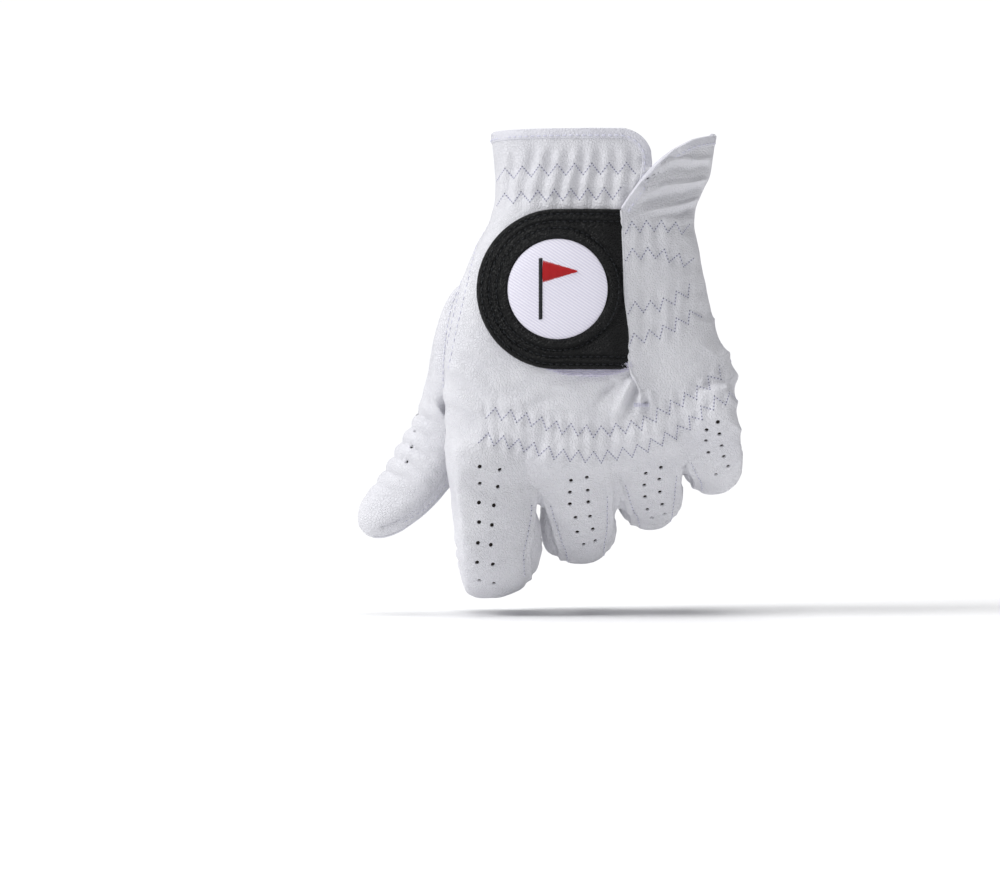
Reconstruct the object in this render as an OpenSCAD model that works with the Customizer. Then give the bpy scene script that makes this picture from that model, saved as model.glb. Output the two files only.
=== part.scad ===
// A leather golf glove for the left hand, formed in its closed grip on a club.
// Lengths are in millimetres. The origin is the middle of the cuff opening, +Z points out of the
// cuff along the forearm, +X is the little-finger side and +Y is the palm side.

/* [Hand] */
// Width of the cuff opening
cuff_w = 79; // [70:1:96]
// Depth of the cuff opening, from back to palm
cuff_d = 46; // [38:1:56]
// Width at the wrist, where the elastic draws the cuff in
wrist_w = 71; // [58:1:80]
// Depth of the palm below the wrist
palm_d = 39; // [32:1:47]
// Depth across the knuckles
knuckle_d = 31; // [26:1:38]
// Length of the hand from the cuff edge to the knuckle fold
body_len = 97; // [80:1:117]

/* [Fingers] */
// Width of the index finger stall
index_w = 31; // [25:0.5:37]
// Width of the middle finger stall
middle_w = 26.5; // [22:0.5:32]
// Width of the ring finger stall
ring_w = 24.5; // [20:0.5:30]
// Width of the little finger stall
little_w = 22; // [18:1:27]
// Thickness of a finger stall
finger_t = 19; // [15:1:23]
// Length of a proximal finger section, index to little
stall_len = [20, 25.5, 19, 9]; // [7:0.5:32]
// Clear space between neighbouring finger stalls
finger_gap = 0.8; // [0.4:0.1:2]

/* [Thumb] */
// Reach of the thumb from its root to its tip
thumb_reach = 62; // [52:1:75]
// Width of the thumb
thumb_w = 25; // [20:1:30]
// Thickness of the thumb
thumb_t = 19; // [15:1:23]

/* [Materials] */
// Thickness of the glove leather
leather = 1; // [0.8:0.1:1.4]
// Thickness of the elastic tape
elastic = 0.8; // [0.5:0.1:1.2]
// Thickness of the hook tape and of the loop tape
tape = 0.9; // [0.6:0.1:1.4]
// Clear space between bodies that move on each other
running_gap = 0.3; // [0.2:0.05:0.6]

/* [Closure tab] */
// Height of the tab, which is also the diameter of its round end
tab_h = 56; // [46:1:60]
// Length of the tab from its round end to its sewn edge
tab_l = 51; // [44:1:56]
// Diameter of the woven disc on the tab
disc_d = 35; // [28:1:40]
// Distance from the cuff edge down to the middle of the tab
tab_drop = 56; // [50:1:62]

/* [Hidden] */

white = [0.93, 0.93, 0.94];
pale = [0.82, 0.82, 0.86];
black = [0.09, 0.10, 0.11];
red = [0.72, 0.10, 0.12];
seam = 0.12;              // clear space between two pieces sewn edge to edge
squareness = 2.5;         // exponent of the rounded-box cross-sections

// ---------- shared surfaces ----------

function mix(a, b, t) = a + (b - a) * t;
function ease(t) = t * t * (3 - 2 * t);
function unit(v) = v / norm(v);
function spread(v, e) = sign(v) * pow(abs(v), 2 / e);
// Point on a rounded-box outline, before it is scaled: along the width, then along the depth
function outline(angle) = [spread(cos(angle), squareness), spread(sin(angle), squareness)];
function steps(from, to, n) = [for (i = [0:n]) mix(from, to, i / n)];
// How many cells, each at most size long, cover a length
function cells(length, size) = ceil(length / size);

// A closed sheet between two grids of points. front is the grid on the face where the rows run down
// while the columns run to the right. hole is a list of [first row, last row, first column, last
// column] cells that are left out. ring joins the last column to the first, and cap closes the last
// row of both grids.
module sheet(front, back, hole = [], ring = false, cap = false) {
    rows = len(front);
    cols = len(front[0]);
    cell_rows = rows - 1;
    cell_cols = ring ? cols : cols - 1;
    n = rows * cols;
    function open(i, j) = len([for (h = hole)
        if (i >= h[0] && i <= h[1] && j >= h[2] && j <= h[3]) 1]) > 0;
    function filled(i, j) =
        let (k = ring ? (j + cell_cols) % cell_cols : j)
        i >= 0 && i < cell_rows && k >= 0 && k < cell_cols && !open(i, k);
    function at(i, j) = i * cols + j % cols;
    cells = [for (i = [0:cell_rows - 1]) for (j = [0:cell_cols - 1]) if (filled(i, j)) [i, j]];
    skins = [for (c = cells) let (a = at(c[0], c[1]), b = at(c[0], c[1] + 1), d = at(c[0] + 1, c[1]),
            e = at(c[0] + 1, c[1] + 1))
        each [[a, b, e], [a, e, d], [n + a, n + e, n + b], [n + a, n + d, n + e]]];
    walls = [for (c = cells) let (i = c[0], j = c[1], a = at(i, j), b = at(i, j + 1), d = at(i + 1, j),
            e = at(i + 1, j + 1)) each [
        if (!filled(i - 1, j)) each [[b, a, n + a], [b, n + a, n + b]],
        if (!filled(i + 1, j) && !(cap && i == cell_rows - 1)) each [[d, e, n + e], [d, n + e, n + d]],
        if (!filled(i, j - 1)) each [[a, d, n + d], [a, n + d, n + a]],
        if (!filled(i, j + 1)) each [[e, b, n + b], [e, n + b, n + e]]]];
    last = at(rows - 1, 0);
    caps = cap ? [for (k = [1:cols - 2])
        each [[last, last + k, last + k + 1], [n + last, n + last + k + 1, n + last + k]]] : [];
    polyhedron(points = concat([for (r = front) each r], [for (r = back) each r]),
        faces = concat(skins, walls, caps));
}

// ---------- hand shell ----------

row_w = index_w + middle_w + ring_w + little_w + 3 * finger_gap;
row_tilt = 12;            // slope of the knuckle row, down towards the index finger
row_rim = 0.5;            // how far the hand shell stands wider than the finger row
fold_len = 9;             // length of the soft leather at the knuckle fold
hand_x = -4;              // middle of the hand at the knuckles
// Down the hand: [share of body_len, half width, x, half depth, y, tilt]
hand_keys = [
    [-0.2, cuff_w / 2, 0, cuff_d / 2, 0, 0],
    [0, cuff_w / 2, 0, cuff_d / 2, 0, 0],
    [0.25, wrist_w / 2, hand_x + 0.6, cuff_d / 2 - 2.5, 0, 0],
    [0.45, mix(wrist_w, row_w, 0.32) / 2, hand_x - 3, palm_d / 2 + 1, 0.5, 3],
    [0.62, mix(wrist_w, row_w, 0.6) / 2, hand_x - 4.5, palm_d / 2, 1, 5],
    [0.8, mix(wrist_w, row_w, 0.84) / 2, hand_x - 3, (palm_d + knuckle_d) / 4, 0.5, 9],
    [1, row_w / 2 + row_rim, hand_x, knuckle_d / 2, 0, row_tilt],
    [1.3, row_w / 2 + row_rim, hand_x, knuckle_d / 2, 0, row_tilt]
];
function key_below(s, i = 0) = i >= len(hand_keys) - 2 || s < hand_keys[i + 1][0] ? i : key_below(s, i + 1);
// Smooth curve through the keys
function hand_at(s) = let (i = key_below(s), k0 = hand_keys[max(i - 1, 0)], k1 = hand_keys[i],
    k2 = hand_keys[i + 1], k3 = hand_keys[min(i + 2, len(hand_keys) - 1)], h = k2[0] - k1[0],
    t = (s - k1[0]) / h, m1 = (k2 - k0) * h / (k2[0] - k0[0]), m2 = (k3 - k1) * h / (k3[0] - k1[0]))
    k1 + ease(t) * (k2 - k1) + t * pow(1 - t, 2) * m1 - t * t * (1 - t) * m2;
// Point of the hand shell: s runs down the hand, angle 0 is the little-finger side, 90 the palm,
// 180 the thumb side and 270 the back; out is the height above the leather's outer face.
function hand_point(s, angle, out) = let (k = hand_at(s), o = outline(angle), u = o[0] * (k[1] + out))
    [k[2] + u * cos(k[5]), k[4] + o[1] * (k[3] + out), -s * body_len + u * sin(k[5])];
function hand_grid(s, angles, out) = [for (i = s) [for (a = angles) hand_point(i, a, out)]];

module hand_patch(s, angles, low, high, hole = []) {
    sheet(hand_grid(s, angles, high), hand_grid(s, angles, low), hole);
}

slit_angle = 283.5;       // where the placket slit runs down the back
slit_gap = 0.7;           // degrees left open at each side of the slit
seam_angle = 0.15;        // degrees left between panels that are sewn edge to edge
slit_top = 0.28;          // where the side panel's cut-away corner meets the slit, as a share of body_len
corner_turn = 7;          // degrees by which the back panel's corner reaches past the slit at the cuff
body_steps = cells(body_len, 6.5);
back_steps = cells(cuff_w, 5.5);
body_s = steps(0, 1, body_steps);
// The back panel's edge at the slit, and the side panel's top edge
function back_edge(s) = slit_angle - slit_gap + corner_turn * ease(max(0, 1 - s / slit_top));
function side_top(angle) = angle < slit_angle ? 0
    : slit_top * pow(max(0, 1 - (angle - slit_angle) / (360 - slit_angle)), 2.2);

module back_leather() {
    grid = [for (s = body_s) steps(180 + seam_angle, back_edge(s), back_steps)];
    color(white)
        sheet([for (i = [0:body_steps]) [for (a = grid[i]) hand_point(body_s[i], a, 0)]],
            [for (i = [0:body_steps]) [for (a = grid[i]) hand_point(body_s[i], a, -leather)]]);
}

module side_leather() {
    angles = steps(slit_angle + slit_gap, 360 - seam_angle, 10);
    color(white)
        sheet([for (s = body_s) [for (a = angles) hand_point(mix(side_top(a), 1, s), a, 0)]],
            [for (s = body_s) [for (a = angles) hand_point(mix(side_top(a), 1, s), a, -leather)]]);
}

// The thumb hole in the palm leather, in cells of its grid
palm_rows = 16;
palm_cols = 18;
thumb_hole = [8, 13, 12, 16];

module palm_leather() {
    color(white)
        hand_patch(steps(0, 1, palm_rows), steps(seam_angle, 180 - seam_angle, palm_cols), -leather, 0,
            [thumb_hole]);
}

binding_h = 2.4;          // height of the bound edge
binding_t = 0.7;          // how far the binding stands out on both faces

// A bound edge on the hand shell. edge gives [share of body_len, angle] along it.
module bound_edge(edge) {
    color(pale)
        sheet([for (h = [binding_h, seam]) [for (e = edge)
                hand_point(e[0] - h / body_len, e[1], binding_t)]],
            [for (h = [binding_h, seam]) [for (e = edge)
                hand_point(e[0] - h / body_len, e[1], -leather - binding_t)]]);
}

module cuff_binding() {
    bound_edge([for (a = steps(0.5, back_edge(0), 28)) [0, a]]);
}

module side_binding() {
    bound_edge([for (a = steps(slit_angle + slit_gap, 359.5, 10)) [side_top(a), a]]);
}

placket_end = 0.93;       // where the placket binding ends, as a share of body_len

module placket_binding() {
    color(pale)
        hand_patch(steps(slit_top + 0.02, placket_end, 8),
            steps(slit_angle + slit_gap, slit_angle + slit_gap + 3, 1), seam, seam + binding_t);
}

module placket_bar() {
    color(pale)
        hand_patch(steps(placket_end + 0.015, placket_end + 0.05, 1),
            steps(slit_angle - 4, slit_angle + 5, 3), seam, seam + leather);
}

// ---------- elastics and label ----------

inside = -leather - 0.3;   // outer face of what is sewn inside the shell

module wrist_elastic() {
    color(pale)
        hand_patch(steps(0.12, 0.31, 3), steps(190, slit_angle - 4, 10), inside - elastic, inside);
}

module side_elastics() {
    for (s = [[0.35, 0.47], [0.6, 0.74]])
        color(pale)
            hand_patch(steps(s[0], s[1], 2), steps(slit_angle + 6, 340, 6), inside - elastic, inside);
}

module size_label() {
    color(white)
        hand_patch(steps(0.03, 0.2, 2), steps(80, 102, 3), inside - 0.3, inside);
}

// ---------- knuckle fold ----------

fold_s = steps(1 + running_gap / body_len, 1 + (fold_len - running_gap) / body_len, 3);

module knuckle_back_leather() {
    color(white)
        hand_patch(fold_s, steps(180 + seam_angle, 360 - seam_angle, 18), -leather, 0);
}

module knuckle_palm_leather() {
    color(white)
        hand_patch(fold_s, steps(seam_angle, 180 - seam_angle, 18), -leather, 0);
}

module knuckle_elastic() {
    color(pale)
        hand_patch(fold_s, steps(195, 345, 12), inside - elastic, inside);
}

// ---------- fingers ----------

// Where each finger starts: along the knuckle row from the index finger
plane_tilt = [6, 9, 9.5, 10];           // slope of each finger's curl plane away from vertical
finger_roll = [12, 0, 0, -6];           // turn of each finger about its own length
first_heading = 5;        // how far the stalls lean to the palm side where they start
row_nest = 0.6664;        // the stalls' roots start this far below the fold,
row_drop = row_nest + 0.04 * index_w;   // and a little more for a wider index finger
row_start = [hand_x - (row_w - index_w) / 2 * cos(row_tilt), 0.5,
    -body_len - fold_len - row_drop - (row_w - index_w) / 2 * sin(row_tilt)];
row_angles = [12.5, 12, 12.5]; // slope from each finger's root to the next one's
widths = [index_w, middle_w, ring_w, little_w];
function row_step(i) = ((widths[i] + widths[i + 1]) / 2 + finger_gap)
    * [cos(row_angles[i]), 0, sin(row_angles[i])];
finger_starts = [row_start, row_start + row_step(0), row_start + row_step(0) + row_step(1),
    row_start + row_step(0) + row_step(1) + row_step(2)];
// Sections down a finger: knuckle, proximal, bend, middle, end joint, tip. Each finger's turns in
// degrees, then lengths and steps.
section_turns = [[3, 6, 74, 8, 48, 14], [25, 8, 76, 8, 56, 12], [31, 8, 66, 8, 62, 12],
    [33, 8, 58, 8, 66, 12]];
middle_len = [22, 20, 20, 19];
section_steps = [3, 4, 6, 2, 3, 3];
bend_len = 19;
joint_len = 14;
tip_len = 8;
knuckle_len = 10;
taper_w = 0.12;           // share of its width that a stall loses towards its tip
taper_t = 0.1;            // and of its thickness
function section_lens(f) = [knuckle_len, stall_len[f], bend_len, middle_len[f], joint_len, tip_len];
// Running lists of step lengths and turns down a finger
function step_list(f) = [for (k = [0:5]) for (i = [1:section_steps[k]])
    [section_lens(f)[k] / section_steps[k], section_turns[f][k] / section_steps[k]]];
function down_of(f) = [sin(plane_tilt[f]), 0, -cos(plane_tilt[f])];
// The spine: a list of [point, heading], where heading 0 runs down and 90 runs to the palm side
function spine(f) = let (st = step_list(f), down = down_of(f), back = [0, 1, 0])
    [for (i = 0, p = finger_starts[f], a = first_heading; i <= len(st);
        a1 = i < len(st) ? a + st[i][1] : a,
        p = i < len(st) ? p + st[i][0] * (cos((a + a1) / 2) * down + sin((a + a1) / 2) * back) : p,
        a = a1, i = i + 1) [p, a]];
spines = [for (f = [0:3]) spine(f)];
// Ring numbers at the section ends
at_knuckle = section_steps[0];
at_bend = at_knuckle + section_steps[1];
at_middle = at_bend + section_steps[2];
at_end = at_middle + section_steps[3];
at_tip = at_end + section_steps[4];
at_last = at_tip + section_steps[5];
at_web = 4;             // the ring at the crotch, where the fourchettes start

// Towards the little finger and out of the back, at right angles to a finger's heading
function back_base(f, heading) = sin(heading) * down_of(f) - cos(heading) * [0, 1, 0];
function side_base(f, heading) = cross(back_base(f, heading), along_dir(f, heading));
function side_dir(f, heading) = side_base(f, heading) * cos(finger_roll[f])
    - back_base(f, heading) * sin(finger_roll[f]);
function back_dir(f, heading) = back_base(f, heading) * cos(finger_roll[f])
    + side_base(f, heading) * sin(finger_roll[f]);
function along_dir(f, heading) = cos(heading) * down_of(f) + sin(heading) * [0, 1, 0];
// Half sizes of a finger's ring: thick at the knuckle, a little slimmer towards the tip, round at the tip
function ring_share(i) = i / at_last;
// Share of a ring's size that is left, t of the way round a dome
function dome(t) = sqrt(max(0.05, 1 - t * t));
function tip_round(i) = i <= at_tip ? 1 : dome((i - at_tip) / (section_steps[5] + 0.3));
function half_w(f, i) = widths[f] / 2 * (1 - taper_w * ring_share(i)) * tip_round(i);
function half_t(f, i) = (finger_t / 2 * (1 - taper_t * ring_share(i))
    + (i < at_knuckle ? (knuckle_d - 3 - finger_t) / 2 * ease(1 - i / at_knuckle) : 0)) * tip_round(i);
// Ring of points: angle 0 is the little-finger side, 90 the palm side, 270 the back
function finger_ring(f, i, angles, out, shift = 0) = let (c = spines[f][i], s = side_dir(f, c[1]),
    b = back_dir(f, c[1]), m = c[0] + shift * along_dir(f, c[1]))
    [for (a = angles) let (o = outline(a))
        m + s * o[0] * (half_w(f, i) + out) - b * o[1] * (half_t(f, i) + out)];
function finger_grid(f, first, last, angles, out) =
    [for (i = [first:last]) finger_ring(f, i, angles, out,
        i == first ? running_gap : i == last ? -running_gap : 0)];

module finger_patch(f, first, last, angles, ring = false) {
    sheet(finger_grid(f, first, last, angles, 0), finger_grid(f, first, last, angles, -leather), [], ring);
}

side_angle = 28;          // the fourchettes reach this far to both sides of a stall's flank
strip_gap = 0.5;          // degrees between a strip and a fourchette
flank_angle = 30;         // on the row's two outer flanks the back strip wraps round to here
back_from = [180 - flank_angle, 180 + side_angle, 180 + side_angle, 180 + side_angle];
back_to = [360 - side_angle, 360 - side_angle, 360 - side_angle, 360 + flank_angle];

module finger_back(f) {
    color(white)
        finger_patch(f, 0, at_bend, steps(back_from[f] + strip_gap, back_to[f] - strip_gap, 10));
}

module finger_front(f) {
    front_from = f == little ? flank_angle : side_angle;
    front_to = 180 - (f == index ? flank_angle : side_angle);
    color(white)
        finger_patch(f, 0, at_bend, steps(front_from + strip_gap, front_to - strip_gap, 7));
}

module fourchettes(f) {
    if (f != little)
        color(white)
            finger_patch(f, at_web, at_bend, steps(-side_angle + strip_gap, side_angle - strip_gap, 3));
    if (f != index)
        color(white)
            finger_patch(f, at_web, at_bend,
                steps(180 - side_angle + strip_gap, 180 + side_angle - strip_gap, 3));
}

tube_sides = 18;
tube_angles = [for (k = [0:tube_sides - 1]) 360 * k / tube_sides];

module bend_leather(f) {
    color(white)
        finger_patch(f, at_bend, at_middle, tube_angles, ring = true);
}

module finger_end(f) {
    color(white)
        finger_patch(f, at_middle, at_tip, tube_angles, ring = true);
}

module finger_end_cap(f) {
    rings = [at_tip:at_last];
    color(white)
        sheet([for (i = rings) finger_ring(f, i, tube_angles, 0, i == at_tip ? running_gap : 0)],
            [for (i = rings) finger_ring(f, i, tube_angles, -leather,
                i == at_last ? -leather : i == at_tip ? running_gap : 0)], [], true, true);
}

index = 0;
middle = 1;
ringf = 2;
little = 3;
module index_back() { finger_back(index); }
module index_front() { finger_front(index); }
module index_fourchette() { fourchettes(index); }
module index_bend_leather() { bend_leather(index); }
module index_end() { finger_end(index); }
module index_end_cap() { finger_end_cap(index); }
module middle_back() { finger_back(middle); }
module middle_front() { finger_front(middle); }
module middle_fourchettes() { fourchettes(middle); }
module middle_bend_leather() { bend_leather(middle); }
module middle_end() { finger_end(middle); }
module middle_end_cap() { finger_end_cap(middle); }
module ring_back() { finger_back(ringf); }
module ring_front() { finger_front(ringf); }
module ring_fourchettes() { fourchettes(ringf); }
module ring_bend_leather() { bend_leather(ringf); }
module ring_end() { finger_end(ringf); }
module ring_end_cap() { finger_end_cap(ringf); }
module little_back() { finger_back(little); }
module little_front() { finger_front(little); }
module little_fourchette() { fourchettes(little); }
module little_bend_leather() { bend_leather(little); }
module little_end() { finger_end(little); }
module little_end_cap() { finger_end_cap(little); }

// ---------- thumb ----------

thumb_angle = 151;        // where the thumb leaves the hand shell
thumb_root = hand_point(0.66, thumb_angle, -10);
thumb_path = [thumb_root, thumb_root + thumb_reach * [-0.14, 0.28, -0.36],
    thumb_root + thumb_reach * [-0.25, 0.38, -0.84], thumb_root + thumb_reach * [-0.72, 0.22, -1.19]];
thumb_back_dir = [-0.35, -0.88, 0.3];     // the side of the thumb that faces away from the palm
function bezier(p, t) = pow(1 - t, 3) * p[0] + 3 * t * pow(1 - t, 2) * p[1] + 3 * t * t * (1 - t) * p[2]
    + pow(t, 3) * p[3];
function bezier_dir(p, t) = unit(bezier(p, t + 0.001) - bezier(p, t - 0.001));
thumb_round = 0.86;       // where along the thumb its tip starts to close
function thumb_scale(t) = t < thumb_round ? 1 : dome((t - thumb_round) / (1.01 - thumb_round));
function thumb_ring(t, angles, out, shift = 0) = let (d = bezier_dir(thumb_path, t),
    b = unit(thumb_back_dir - (thumb_back_dir * d) * d), s = cross(d, b), k = thumb_scale(t),
    w = thumb_w / 2 * (1 - taper_w * t) * k, h = thumb_t / 2 * (1 - taper_t * t) * k,
    m = bezier(thumb_path, t) + shift * d)
    [for (a = angles) let (o = outline(a)) m + s * o[0] * (w + out) - b * o[1] * (h + out)];
thumb_start = 0.47;       // where the moving thumb starts
// Rim of the thumb's soft base on the hand shell, just inside the hole in the palm leather
hole_s = [thumb_hole[0], thumb_hole[1] + 1] / palm_rows;
hole_a = [thumb_hole[2], thumb_hole[3] + 1] * 180 / palm_cols;
hole_turn = 90;           // turn that lines the rim up with the thumb's own rings
rim_squareness = 6;
rim_gap = [0.4 / body_len, 0.6];          // clear space to the hole, down the hand and in degrees
function rim_point(angle, out) = let (u = spread(cos(angle + hole_turn), rim_squareness),
    w = spread(sin(angle + hole_turn), rim_squareness),
    ds = (hole_s[1] - hole_s[0]) / 2 - rim_gap[0], da = (hole_a[1] - hole_a[0]) / 2 - rim_gap[1])
    hand_point((hole_s[0] + hole_s[1]) / 2 - w * ds, (hole_a[0] + hole_a[1]) / 2 + u * da, out);
base_lift = 10;           // how steeply the soft base rises from the hand shell
function base_rows(out) = let (end = thumb_ring(thumb_start, tube_angles, out, -running_gap))
    [for (t = steps(0, 1, 4)) [for (k = [0:tube_sides - 1])
        pow(1 - t, 2) * rim_point(tube_angles[k], out)
            + 2 * t * (1 - t) * rim_point(tube_angles[k], base_lift + out) + t * t * end[k]]];

module thumb_base_leather() {
    color(white)
        sheet(base_rows(-leather), base_rows(0), [], true);
}

thumb_s = concat(steps(thumb_start, thumb_round, 5), [0.91, 0.96, 1]);
module thumb_half(angles) {
    color(white)
        sheet([for (t = thumb_s)
                thumb_ring(t, angles, -leather, t == thumb_start ? running_gap : t == 1 ? -leather : 0)],
            [for (t = thumb_s) thumb_ring(t, angles, 0, t == thumb_start ? running_gap : 0)]);
}

thumb_seam = 1;           // degrees left open on each side of the thumb's two seams
module thumb_back() { thumb_half(steps(180 + thumb_seam, 360 - thumb_seam, 10)); }
module thumb_front() { thumb_half(steps(thumb_seam, 180 - thumb_seam, 10)); }

welt_s = steps(thumb_start + 0.02, thumb_round, 5);
welt_out = 0.2;           // how far the welt stands off the leather
module thumb_seam_welt() {
    for (a = [0, 180])
        color(pale)
            sheet([for (t = welt_s) thumb_ring(t, [a - 3, a + 3], welt_out)],
                [for (t = welt_s) thumb_ring(t, [a - 3, a + 3], welt_out + binding_t)]);
}

// ---------- closure tab ----------

tab_round = tab_h / 2;
tab_edge_x = hand_point(tab_drop / body_len, slit_angle, 0)[0] + 0.3;
tab_round_x = tab_edge_x - tab_l + tab_round;
disc_x = tab_round_x + 0.4;
// Height of the tab's outline at x
function tab_half(x) = x < tab_round_x
    ? sqrt(max(0, pow(tab_round, 2) - pow(x - tab_round_x, 2))) : tab_round;
// The y of the hand's back, raised by out, over a point of the front view
function back_share(x, z) = let (k = hand_at(-z / body_len)) (-z + (x - k[2]) * tan(k[5])) / body_len;
function back_y(x, z, out) = let (k = hand_at(back_share(x, z)),
    u = min(0.999, abs(x - k[2]) / cos(k[5]) / (k[1] + out)))
    k[4] - (k[3] + out) * pow(1 - pow(u, squareness), 1 / squareness);
function on_back(x, z, out) = [x, back_y(x, z, out), z];
// A sheet over the hand's back. Each row is [x, low z, high z].
module back_patch(rows, n, low, high) {
    sheet([for (r = rows) [for (v = steps(r[1], r[2], n)) on_back(r[0], v, high)]],
        [for (r = rows) [for (v = steps(r[1], r[2], n)) on_back(r[0], v, low)]]);
}

loop_out = 0.35;                                  // the loop tape lies on the back leather
hook_out = loop_out + tape + running_gap;         // the hook tape lies over it
tab_out = hook_out + tape + seam;
disc_out = tab_out + leather + seam;

pad_cell = 6.5;           // longest cell of the tapes' and the tab's grids
loop_low = 0.53;          // how far the loop tape reaches below and above the tab's middle, as shares
loop_high = 0.38;         // of its height

loop_inset = [8, 3];      // clear space to the tab's round end and to its sewn edge
hook_inset = [10, 9];
hook_share = 0.3;         // how far the hook tape reaches from the tab's middle, as a share of its height

module loop_pad() {
    color(pale)
        back_patch([for (x = steps(tab_edge_x - tab_l + loop_inset[0], tab_edge_x - loop_inset[1],
                    cells(tab_l, pad_cell)))
                [x, -tab_drop - tab_h * loop_low, -tab_drop + tab_h * loop_high]],
            cells(tab_h * (loop_low + loop_high), pad_cell), loop_out, loop_out + tape);
}

module tab_leather() {
    xs = concat([for (a = steps(8, 90, 8)) tab_round_x - tab_round * cos(a)],
        [for (x = steps(tab_round_x + 4, tab_edge_x - 8, 3)) x], [tab_edge_x - 4, tab_edge_x - running_gap]);
    color(black)
        back_patch([for (x = xs) [x, -tab_drop - tab_half(x), -tab_drop + tab_half(x)]], cells(tab_h, 7),
            tab_out, tab_out + leather);
}

module tab_hook_pad() {
    color(black)
        back_patch([for (x = steps(tab_edge_x - tab_l + hook_inset[0], tab_edge_x - hook_inset[1],
                    cells(tab_l, pad_cell)))
                [x, -tab_drop - tab_h * hook_share, -tab_drop + tab_h * hook_share]],
            cells(tab_h * 2 * hook_share, pad_cell), hook_out, hook_out + tape);
}

disc_sides = 4 * cells(disc_d, 5);
disc_rings = cells(disc_d / 2, 5.9);
function disc_ring(r, out) = [for (k = [0:disc_sides - 1]) let (a = 360 * k / disc_sides)
    on_back(disc_x + r * cos(a), -tab_drop + r * sin(a), out)];

piping_w = 4;             // the padded roll round the disc
piping_t = 1.2;
disc_t = 0.6;
// A sheet of rings round the middle of the disc, from radius to radius
module disc_sheet(radii, out, thick, cap = false) {
    sheet([for (r = radii) disc_ring(r, out)], [for (r = radii) disc_ring(r, out + thick)], [], true, cap);
}

module tab_piping() {
    color(black)
        disc_sheet([disc_d / 2 + piping_w, disc_d / 2 + seam], disc_out, piping_t);
}

module badge_disc() {
    color(white)
        disc_sheet(steps(disc_d / 2, 0.4, disc_rings), disc_out, disc_t, cap = true);
}

motif_out = disc_out + disc_t + seam;
motif_t = 0.5;
pin_w = 1.3;              // an embroidered flagstick, with a pennant beside its top
pin_h = disc_d * 0.6;
flag_l = disc_d * 0.34;
flag_h = disc_d * 0.25;
pin_x = disc_x - flag_l / 2;

module badge_pin() {
    color(black)
        back_patch([for (x = [pin_x - pin_w / 2, pin_x + pin_w / 2])
            [x, -tab_drop - pin_h / 2, -tab_drop + pin_h / 2]], 4, motif_out, motif_out + motif_t);
}

module badge_flag() {
    top = -tab_drop + pin_h / 2;
    tip_h = 0.5;          // height of the pennant's blunt tip
    color(red)
        back_patch([for (t = steps(0, 1, 3)) [pin_x + pin_w / 2 + seam + t * flag_l,
            top - mix(flag_h, (flag_h + tip_h) / 2, t), top - mix(0, (flag_h - tip_h) / 2, t)]], 2,
            motif_out, motif_out + motif_t);
}

back_leather();
side_leather();
palm_leather();
cuff_binding();
side_binding();
placket_binding();
placket_bar();
loop_pad();
wrist_elastic();
side_elastics();
size_label();
knuckle_back_leather();
knuckle_palm_leather();
knuckle_elastic();
tab_leather();
tab_hook_pad();
tab_piping();
badge_disc();
badge_pin();
badge_flag();
thumb_base_leather();
thumb_back();
thumb_front();
thumb_seam_welt();
index_back();
index_front();
index_fourchette();
index_bend_leather();
index_end();
index_end_cap();
middle_back();
middle_front();
middle_fourchettes();
middle_bend_leather();
middle_end();
middle_end_cap();
ring_back();
ring_front();
ring_fourchettes();
ring_bend_leather();
ring_end();
ring_end_cap();
little_back();
little_front();
little_fourchette();
little_bend_leather();
little_end();
little_end_cap();
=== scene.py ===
import math
import random

import bmesh
import bpy
import numpy as np
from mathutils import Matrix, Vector
from mathutils.bvhtree import BVHTree


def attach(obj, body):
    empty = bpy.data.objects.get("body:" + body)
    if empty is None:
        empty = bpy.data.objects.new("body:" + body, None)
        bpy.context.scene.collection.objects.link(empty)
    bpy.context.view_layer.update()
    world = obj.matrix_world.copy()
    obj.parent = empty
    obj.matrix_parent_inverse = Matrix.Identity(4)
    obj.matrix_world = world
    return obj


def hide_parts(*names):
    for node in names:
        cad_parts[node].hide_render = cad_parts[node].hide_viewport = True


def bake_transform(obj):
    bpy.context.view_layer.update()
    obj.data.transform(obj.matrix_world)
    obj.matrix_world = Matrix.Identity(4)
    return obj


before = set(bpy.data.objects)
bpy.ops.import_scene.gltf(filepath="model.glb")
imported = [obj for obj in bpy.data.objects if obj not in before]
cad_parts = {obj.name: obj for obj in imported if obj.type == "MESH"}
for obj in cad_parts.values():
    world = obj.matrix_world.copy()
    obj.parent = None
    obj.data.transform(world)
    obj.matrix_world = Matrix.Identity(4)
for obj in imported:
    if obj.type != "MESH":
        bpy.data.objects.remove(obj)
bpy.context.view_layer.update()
MM = 0.001


# ---------- the glove's skin ----------
# The palm, back and finger strips of a golf glove are thin cabretta leather cut as one trank, so the
# leather runs on from the hand to the fingers. The skin is made as closed rounded forms joined into one
# surface, then cut along the seams. Its creases come from the elastics and from the curled fingers.

BODY_LEN, CUFF_W, CUFF_D, WRIST_W, PALM_D, KNUCKLE_D = 97.0, 79.0, 46.0, 71.0, 39.0, 31.0
WIDTHS = [31.0, 26.5, 24.5, 22.0]
FINGER_T, FINGER_GAP, LEATHER, FOLD_LEN = 19.0, 0.8, 1.0, 9.0
STALL_LEN, MIDDLE_LEN = [20, 25.5, 19, 9], [22, 20, 20, 19]
ROW_W, ROW_TILT, HAND_X = sum(WIDTHS) + 3 * FINGER_GAP, 12.0, -4.0
SQUARENESS = 2.5


def mix(a, b, t):
    return a + (b - a) * t


def ease(t):
    t = np.clip(t, 0, 1)
    return t * t * (3 - 2 * t)


def unit(v):
    return v / np.maximum(np.linalg.norm(v, axis=-1, keepdims=True), 1e-12)


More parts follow.
